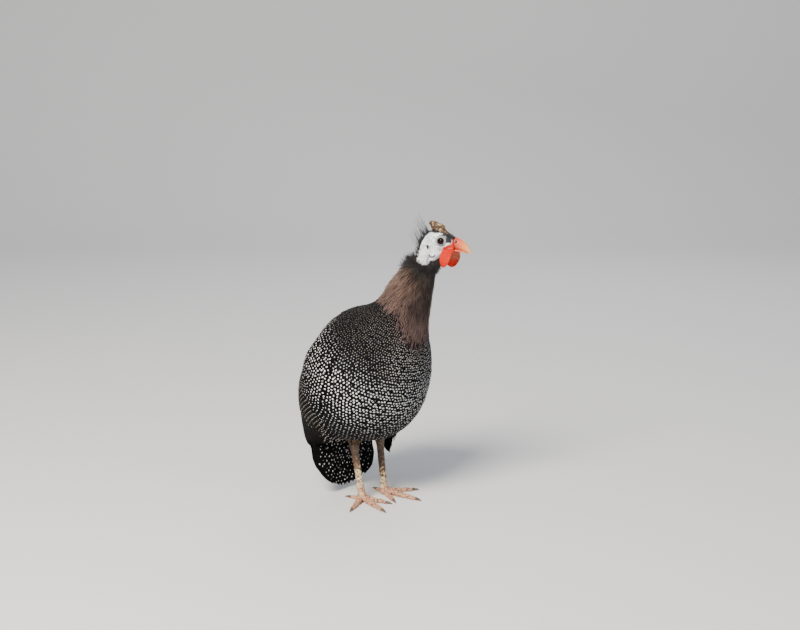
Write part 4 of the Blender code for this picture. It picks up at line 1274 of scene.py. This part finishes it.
def leg_finish():
    """Horny scales, dull and dry: pink and cream at the foot, brown up the shank, dirt and dark seams."""
    material, tree = finish("leg_scales", 0.55)
    up, seam = (node(tree, "Attribute", out="Fac", attribute_name=title) for title in ("up", "seam"))
    cells = node(tree, "TexVoronoi", {
        "Vector": node(tree, "TexCoord", out="Object"), "Scale": 1 / (SCALE_WIDTH * MM),
    }, "Distance", feature="DISTANCE_TO_EDGE")
    blotch = node(tree, "Math", (noise_at(tree, 5.0, 4), 0.5), operation="SUBTRACT")
    shift = node(tree, "Math", (blotch, 0.9), operation="MULTIPLY")
    colour = node(tree, "ValToRGB", (node(tree, "Math", (up, shift), operation="ADD"),), stops=(
        (0.10, "#d6a080"), (0.24, "#e2b792"), (0.38, "#f6e4bc"), (0.52, "#ecd2a2"), (0.61, "#9a7450"),
        (0.70, "#634832"), (0.86, "#523c2c"), (0.97, "#80664c"),
    ))
    higher = node(tree, "Math", (up, 0.12), operation="MULTIPLY")
    speckle = node(tree, "Math", (noise_at(tree, 2.6, 4), higher), operation="ADD")
    dirt = node(tree, "ValToRGB", (speckle,), stops=((0.35, 0.0), (0.52, 0.0), (0.62, 0.85)))
    colour = node(tree, "Mix", {0: dirt, 6: colour, 7: "#22160f"}, **COLOURS)
    groove = node(tree, "ValToRGB", (cells,), stops=((0.0, 0.6), (0.12, 0.0)))
    line = node(tree, "Math", (seam, 0.75), operation="MULTIPLY")
    dark = node(tree, "Math", (groove, line), operation="MAXIMUM")
    colour = node(tree, "Mix", {0: dark, 6: colour, 7: "#4a3124"}, **COLOURS)
    scales = node(tree, "ValToRGB", (cells,), stops=((0.0, 0.0), (0.25, 1.0)))
    return coated(material, colour, scales, 0.25, 0.6)


def scute(co, n, side):
    """How high a scute stands here, from 0 in the seam to 1, and how much it shows."""
    away = co.y - side * FOOT_OUT
    if co.z > TOES_END:
        phase = (co.z + 0.35 * abs(away)) / SHANK_SCUTE
        show = step(n.x, 0.0, 0.5)
    else:
        phase = math.hypot(co.x, away) / TOE_SCUTE
        show = step(n.z, 0.15, 0.6)
    f = phase % 1.0
    return min(f / 0.22, (1 - f) / 0.78) if f else 0.0, show


def build_legs():
    """Scaly legs: broad scutes down the front of the shank and across the toes, fine scales between.

    The left leg is browner above its foot. Nothing goes below the floor.
    """
    material = leg_finish()
    pieces = []
    for side, word in SIDES:
        def relief(co, n):
            height, show = scute(co, n, side)
            return 0.65 + show * 0.42 * (height - 0.45) + 0.10 * lumps(co, 1.6, 5) + 0.25 * lumps(co, 6.0, 2)

        def seam(co, n):
            height, show = scute(co, n, side)
            return show * (1 - min(height / 0.3, 1))

        bm = refined(["shank_" + word, "foot_" + word], grain=0.75)
        carved(bm, relief)
        for vert in bm.verts:
            vert.co.z = max(vert.co.z, 0.0)
        browner = 0.20 if side > 0 else 0.0
        painted(bm, {"up": lambda co, n: co.z / LEG_HEIGHT + browner * step(co.z, 6, 26), "seam": seam})
        piece = piece_from(bm, "leg_" + word, material)
        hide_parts("shank_" + word, "foot_" + word)
        pieces.append(piece)
    return pieces


def finish_claws():
    """Claw horn: brown with paler streaks and a slight gloss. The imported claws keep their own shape."""
    material, tree = finish("claw_horn", 0.35)
    colour = node(tree, "ValToRGB", (noise_at(tree, 2.6, 4),), stops=(
        (0.3, "#3a2a20"), (0.55, "#6a5040"), (0.85, "#a08468"),
    ))
    coated(material, colour, noise_at(tree, 0.8, 3, (0.4, 0.4, 1)), 0.15, 0.5)
    for name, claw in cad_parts.items():
        if name.startswith("claw_"):
            claw.data.materials.clear()
            claw.data.materials.append(material)


# Hair-like feathers

def bristles(name, stems, material, radius, joints=5, tones=None, places=None):
    """Hair-like feathers, each a thin tapered rod of three sides on a stem: root, way, bend and length."""
    sides = 3
    tones = rng.uniform(0, 1, len(stems)) if tones is None else tones
    turn = np.arange(sides) * 2 * math.pi / sides
    t = np.linspace(0, 1, joints)
    points = []
    for root, way, bend, length in stems:
        way = np.array(way) / np.linalg.norm(way)
        line = root + np.outer(t * length, way) + np.outer(t**2 * length, bend)
        first = unit(np.cross(way, (0.3, 0.5, 0.8)))
        second = np.cross(way, first)
        r = radius * (1.05 - t) ** 0.7
        ring = np.cos(turn)[:, None] * first + np.sin(turn)[:, None] * second
        points.append((line[:, None] + r[:, None, None] * ring).reshape(-1, 3))
    index = np.arange(joints * sides).reshape(joints, sides)
    after = np.roll(index, -1, 1)
    walls = np.stack([index[:-1], after[:-1], after[1:], index[1:]], -1).reshape(-1, 4)
    triangles = np.concatenate([walls[:, [0, 1, 2]], walls[:, [0, 2, 3]], index[:1, ::-1], index[-1:]])
    flat, faces = many(np.array(points), triangles)
    if places is None:
        order = np.arange(len(points))
        places = 0.02 + 0.96 * np.stack([(order * 0.618034) % 1, (order + 0.5) / len(points)], -1)
    around = np.tile(np.linspace(-1, 1, sides), joints)
    maps = [("OFBake", patches(len(points), joints * sides, places, np.repeat(t, sides), around))]
    return made_mesh(name, flat, faces, material, maps, np.repeat(tones, joints * sides))


def bristle_finish(name, stops):
    """Wiry keratin without a web, its colour from the tone of each."""
    material, tree = finish(name, 0.55, Sheen_Weight=0.1, Specular_IOR_Level=0.4)
    tone = node(tree, "Attribute", out="Fac", attribute_name="tone")
    return coated(material, node(tree, "ValToRGB", (tone,), stops=stops))


# Blue-black hairs of nape and crown, black plumes of the throat, and the warm loose barbs of the neck
nape_bristle = bristle_finish("nape_bristle", ((0.0, "#0c0b0f"), (0.6, "#1c1b21"), (1.0, "#474852")))
throat_plume = bristle_finish("throat_plume", ((0.0, "#070606"), (0.6, "#131012"), (1.0, "#2c2523")))
neck_barb = bristle_finish("neck_barb", ((0.0, "#120d0b"), (0.5, "#4c392f"), (1.0, "#a08473")))


def head_way(x, y, z):
    """A way given in the head's own frame, in the bird's frame."""
    return np.array(from_head((x, y, z))) - HEAD_PLACE


def neck_root(at, turn, depth):
    """A root this deep in the neck's skin, with the ways up the neck and outwards."""
    here, slope, _, normal = (v[0] for v in measured(body, np.array([at]), np.array([turn]), -depth))
    return here + normal * nape_swell(at, turn), unit(slope), normal


def build_nape(head):
    """The crest of long hairs up the back of the head, and shorter ones round the top of the neck."""
    stems = []
    for k in range(330):
        z = rng.uniform(-30, 9)
        y = rng.normal(0, 2.6)
        long = k % 5 == 0 and z > -18
        root = met_head(head, (-70, y, z), (1, 0, 0))
        if root is None:
            continue
        way = head_way(rng.uniform(-0.8, -0.15), 0.06 * y, rng.uniform(0.8, 1.3))
        length = rng.uniform(18, 31) if long else rng.uniform(5, 11)
        stems.append((np.array(root), way + rng.normal(0, 0.10, 3), np.array((0, 0, 0.10)), length))
    for _ in range(300):
        at = rng.uniform(10.9, 12.0)
        root, up, out = neck_root(at, rng.normal(0, 0.8), 2.0)
        way = out * rng.uniform(0.5, 1.0) + up * rng.uniform(-0.6, 0.9) + rng.normal(0, 0.2, 3)
        stems.append((root, way, up * rng.uniform(-0.25, 0.25), rng.uniform(7, 14)))
    return bristles("nape_bristles", stems, nape_bristle, 0.24)


def build_crown():
    """The short hairs on both sides of the helmet's foot, and behind it."""
    stems = []
    for _ in range(420):
        x = rng.uniform(-22, 13)
        y = rng.normal(0, 2.6) if x < -12 else rng.choice((-1, 1)) * rng.uniform(3.5, 7.5)
        top = 13.8 - 0.0165 * (x + 6) ** 2 - 0.06 * y * y
        root = np.array(from_head((x, y, top - 1.5)))
        way = head_way(-0.7, 0.08 * y, 0.9) + rng.normal(0, 0.25, 3)
        stems.append((root, way, np.array((0, 0, -0.1)), rng.uniform(2.5, 4.5)))
    return bristles("crown_bristles", stems, nape_bristle, 0.22, 3)


def build_plumes(roots):
    """The soft black plumes under the head, on the dark skin of the throat and round the top of the neck."""
    stems = []
    for root, out in roots:
        way = out * rng.uniform(0.15, 0.6) + np.array((-0.15, 0, -1.0)) + rng.normal(0, 0.2, 3)
        stems.append((root - out * 0.4, way, out * 0.1, rng.uniform(5, 9)))
    for _ in range(2000):
        turn = rng.uniform(-math.pi, math.pi)
        at = NECK_TOP - (0.45 + 1.05 * ease(abs(turn), 1.2, 2.6)) * rng.uniform() ** 1.6
        root, up, out = neck_root(at, turn, 1.0)
        free = 0.25 + 0.35 * ease(at, 11.0, 11.9)
        way = out * rng.uniform(0.1, free) + up * (rng.uniform(-1, 0.7) if at > 11.5 else -1)
        stems.append((root, way + rng.normal(0, 0.12, 3), -out * 0.1, rng.uniform(5, 10)))
    return bristles("throat_plumes", stems, throat_plume, 0.30, 4)


def build_bristles(head, plume_roots):
    """All hair-like feathers of the head."""
    pieces = [build_nape(head), build_crown(), build_plumes(plume_roots)]
    return pieces


# Thighs

def thigh_sheet(side):
    """The feathered thigh: from 0 at the hip to 1 at its end, a turn round it, and a height."""
    hip = np.array((4, side * 36.5, 130.0))
    hock = np.array((-12, side * 25.5, 78.0))
    table = np.array([(0, 30, 24), (0.45, 22, 18), (0.72, 13, 11), (0.9, 7.6, 7.0), (1.0, 7.2, 6.6)], float)

    def place(down, turn, height):
        row = row_at(table, np.clip(down, 0, 1.3) * (len(table) - 1))
        centre = hip + (hock - hip) * row[..., :1]
        along, across = row[..., 1] + height, row[..., 2] + height
        return centre + np.stack([along * np.cos(turn), across * np.sin(turn), np.zeros_like(turn)], -1)
    return place


def build_thighs():
    """The small plain feathers of the thighs, in rings that have fewer of them lower down."""
    pieces = []
    for side, word in SIDES:
        roots = []
        for ring in range(13):
            count = int(26 - 10 * ring / 12)
            turns = [-math.pi + 2 * math.pi * (k + 0.5 * (ring % 2)) / count for k in range(count)]
            roots += [(0.36 + 0.62 * ring / 12, turn) for turn in turns]
        roots = np.array(roots)
        count = len(roots)
        spread = np.stack([0.02 + 0.96 * (roots[:, 1] + math.pi) / 7.0, roots[:, 0] * 0.9], -1)
        length = THIGH_SIZE[0] * rng.uniform(0.8, 1.1, count)
        width = THIGH_SIZE[1] * rng.uniform(0.9, 1.1, count)
        piece, _ = feathers(
            "thigh_feathers_" + word, thigh_sheet(side), roots, length, width, HACKLE, thigh_feather, spread,
            rng.uniform(0, 0.6, count), rng.normal(0, 0.1, count), toward=1,
        )
        pieces.append(piece)
    return pieces


# Floor, lights and camera

# The photograph's camera: its turn and rise in degrees, its distance, metres for a pixel at the feet, the
# picture's size and the feet's place in it in pixels, and the sensor's width in millimetres
CAMERA_TURN, CAMERA_RISE = 45, 12
CAMERA_DISTANCE = 2.2
PIXEL = 0.00145
PICTURE = (800, 630)
FEET_AT = (373, 497)
SENSOR = 36


def build_floor(turned):
    """A pale paper floor that turns up into a backdrop with a round bend."""
    reach, rear, bend, top = 6.0, 3.0, 0.8, 5.0
    line = [(-reach, 0.0)]
    for k in range(9):
        angle = k * math.pi / 16
        line.append((rear - bend + bend * math.sin(angle), bend - bend * math.cos(angle)))
    line.append((rear, top))
    bm = bmesh.new()
    verts = [bm.verts.new((-reach, y, z)) for y, z in line]
    edges = [bm.edges.new(pair) for pair in zip(verts, verts[1:])]
    made = bmesh.ops.extrude_edge_only(bm, edges=edges)
    moved = [part for part in made["geom"] if isinstance(part, bmesh.types.BMVert)]
    bmesh.ops.translate(bm, verts=moved, vec=(2 * reach, 0, 0))
    bmesh.ops.rotate(bm, verts=bm.verts, cent=(0, 0, 0), matrix=turned)
    bmesh.ops.recalc_face_normals(bm, faces=bm.faces)
    mesh = mesh_of(bm, "studio_floor")
    mesh.shade_smooth()
    material, _ = finish("pale_paper", 0.9, Base_Color=srgb("#d6d7d9"))
    mesh.materials.append(material)
    linked("studio_floor", mesh)


def build_lights(turned):
    """Soft daylight from the upper left, with a weak fill from the right, a light behind and a grey sky."""
    world = bpy.context.scene.world or bpy.data.worlds.new("studio")
    bpy.context.scene.world = world
    world.use_nodes = True
    sky = world.node_tree.nodes["Background"].inputs
    sky["Color"].default_value = srgb("#dfe5ee")
    sky["Strength"].default_value = 0.50
    middle, distance = Vector((0, 0, 0.2)), 2.4
    for name, way, size, power, colour in (
        ("key_light", (-0.38, -0.72, 0.80), 0.9, 135, "#fff6e8"),
        ("fill_light", (0.95, -0.45, 0.35), 2.0, 14, "#eef3ff"),
        ("back_light", (0.2, 0.9, 0.75), 1.6, 18, "#ffffff"),
    ):
        way = turned @ Vector(way).normalized()
        light = linked(name, bpy.data.lights.new(name, "AREA"))
        light.data.size = size
        light.data.energy = power
        light.data.color = srgb(colour)[:3]
        light.location = middle + way * distance
        light.rotation_euler = (-way).to_track_quat("-Z", "Y").to_euler()


def build_camera():
    """The camera, level with the picture's edges, with the feet where the photograph has them."""
    turn, rise = math.radians(CAMERA_TURN), math.radians(CAMERA_RISE)
    back = Vector((math.sin(turn) * math.cos(rise), -math.cos(turn) * math.cos(rise), math.sin(rise)))
    right = Vector((math.cos(turn), math.sin(turn), 0))
    up = back.cross(right)
    aim = Vector(OFFSET) * MM + right * (PICTURE[0] / 2 - FEET_AT[0]) * PIXEL
    aim += up * (FEET_AT[1] - PICTURE[1] / 2) * PIXEL
    camera = linked("camera", bpy.data.cameras.new("camera"))
    camera.data.sensor_width = SENSOR
    camera.data.lens = SENSOR * CAMERA_DISTANCE / (PICTURE[0] * PIXEL)
    pose = Matrix((right, up, back)).transposed().to_4x4()
    camera.matrix_world = Matrix.Translation(aim + back * CAMERA_DISTANCE) @ pose
    bpy.context.scene.camera = camera


def main():
    """Makes every piece, lets each ride on the bird's one body, and sets up floor, lights and camera."""
    cover = Cover()
    pieces = build_body_coat(cover)
    for side, word in SIDES:
        pieces += build_wing(side, word, cover)
    pieces += build_tail(cover)
    pieces += build_neck_coat()
    pieces += build_spots(cover)
    pieces += build_thighs()
    skin, head, plume_roots = build_skin()
    pieces += [skin, *(build_eye(side, word) for side, word in SIDES), build_casque()]
    pieces += [build_lids(side, word, skin.data.materials[0], head) for side, word in SIDES]
    pieces += build_bill()
    pieces += build_wattles()
    pieces += build_legs()
    pieces += build_bristles(head, plume_roots)
    finish_claws()
    for piece in pieces:
        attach(piece, "root")
    turned = Matrix.Rotation(math.radians(CAMERA_TURN), 3, "Z")
    build_floor(turned)
    build_lights(turned)
    build_camera()


main()
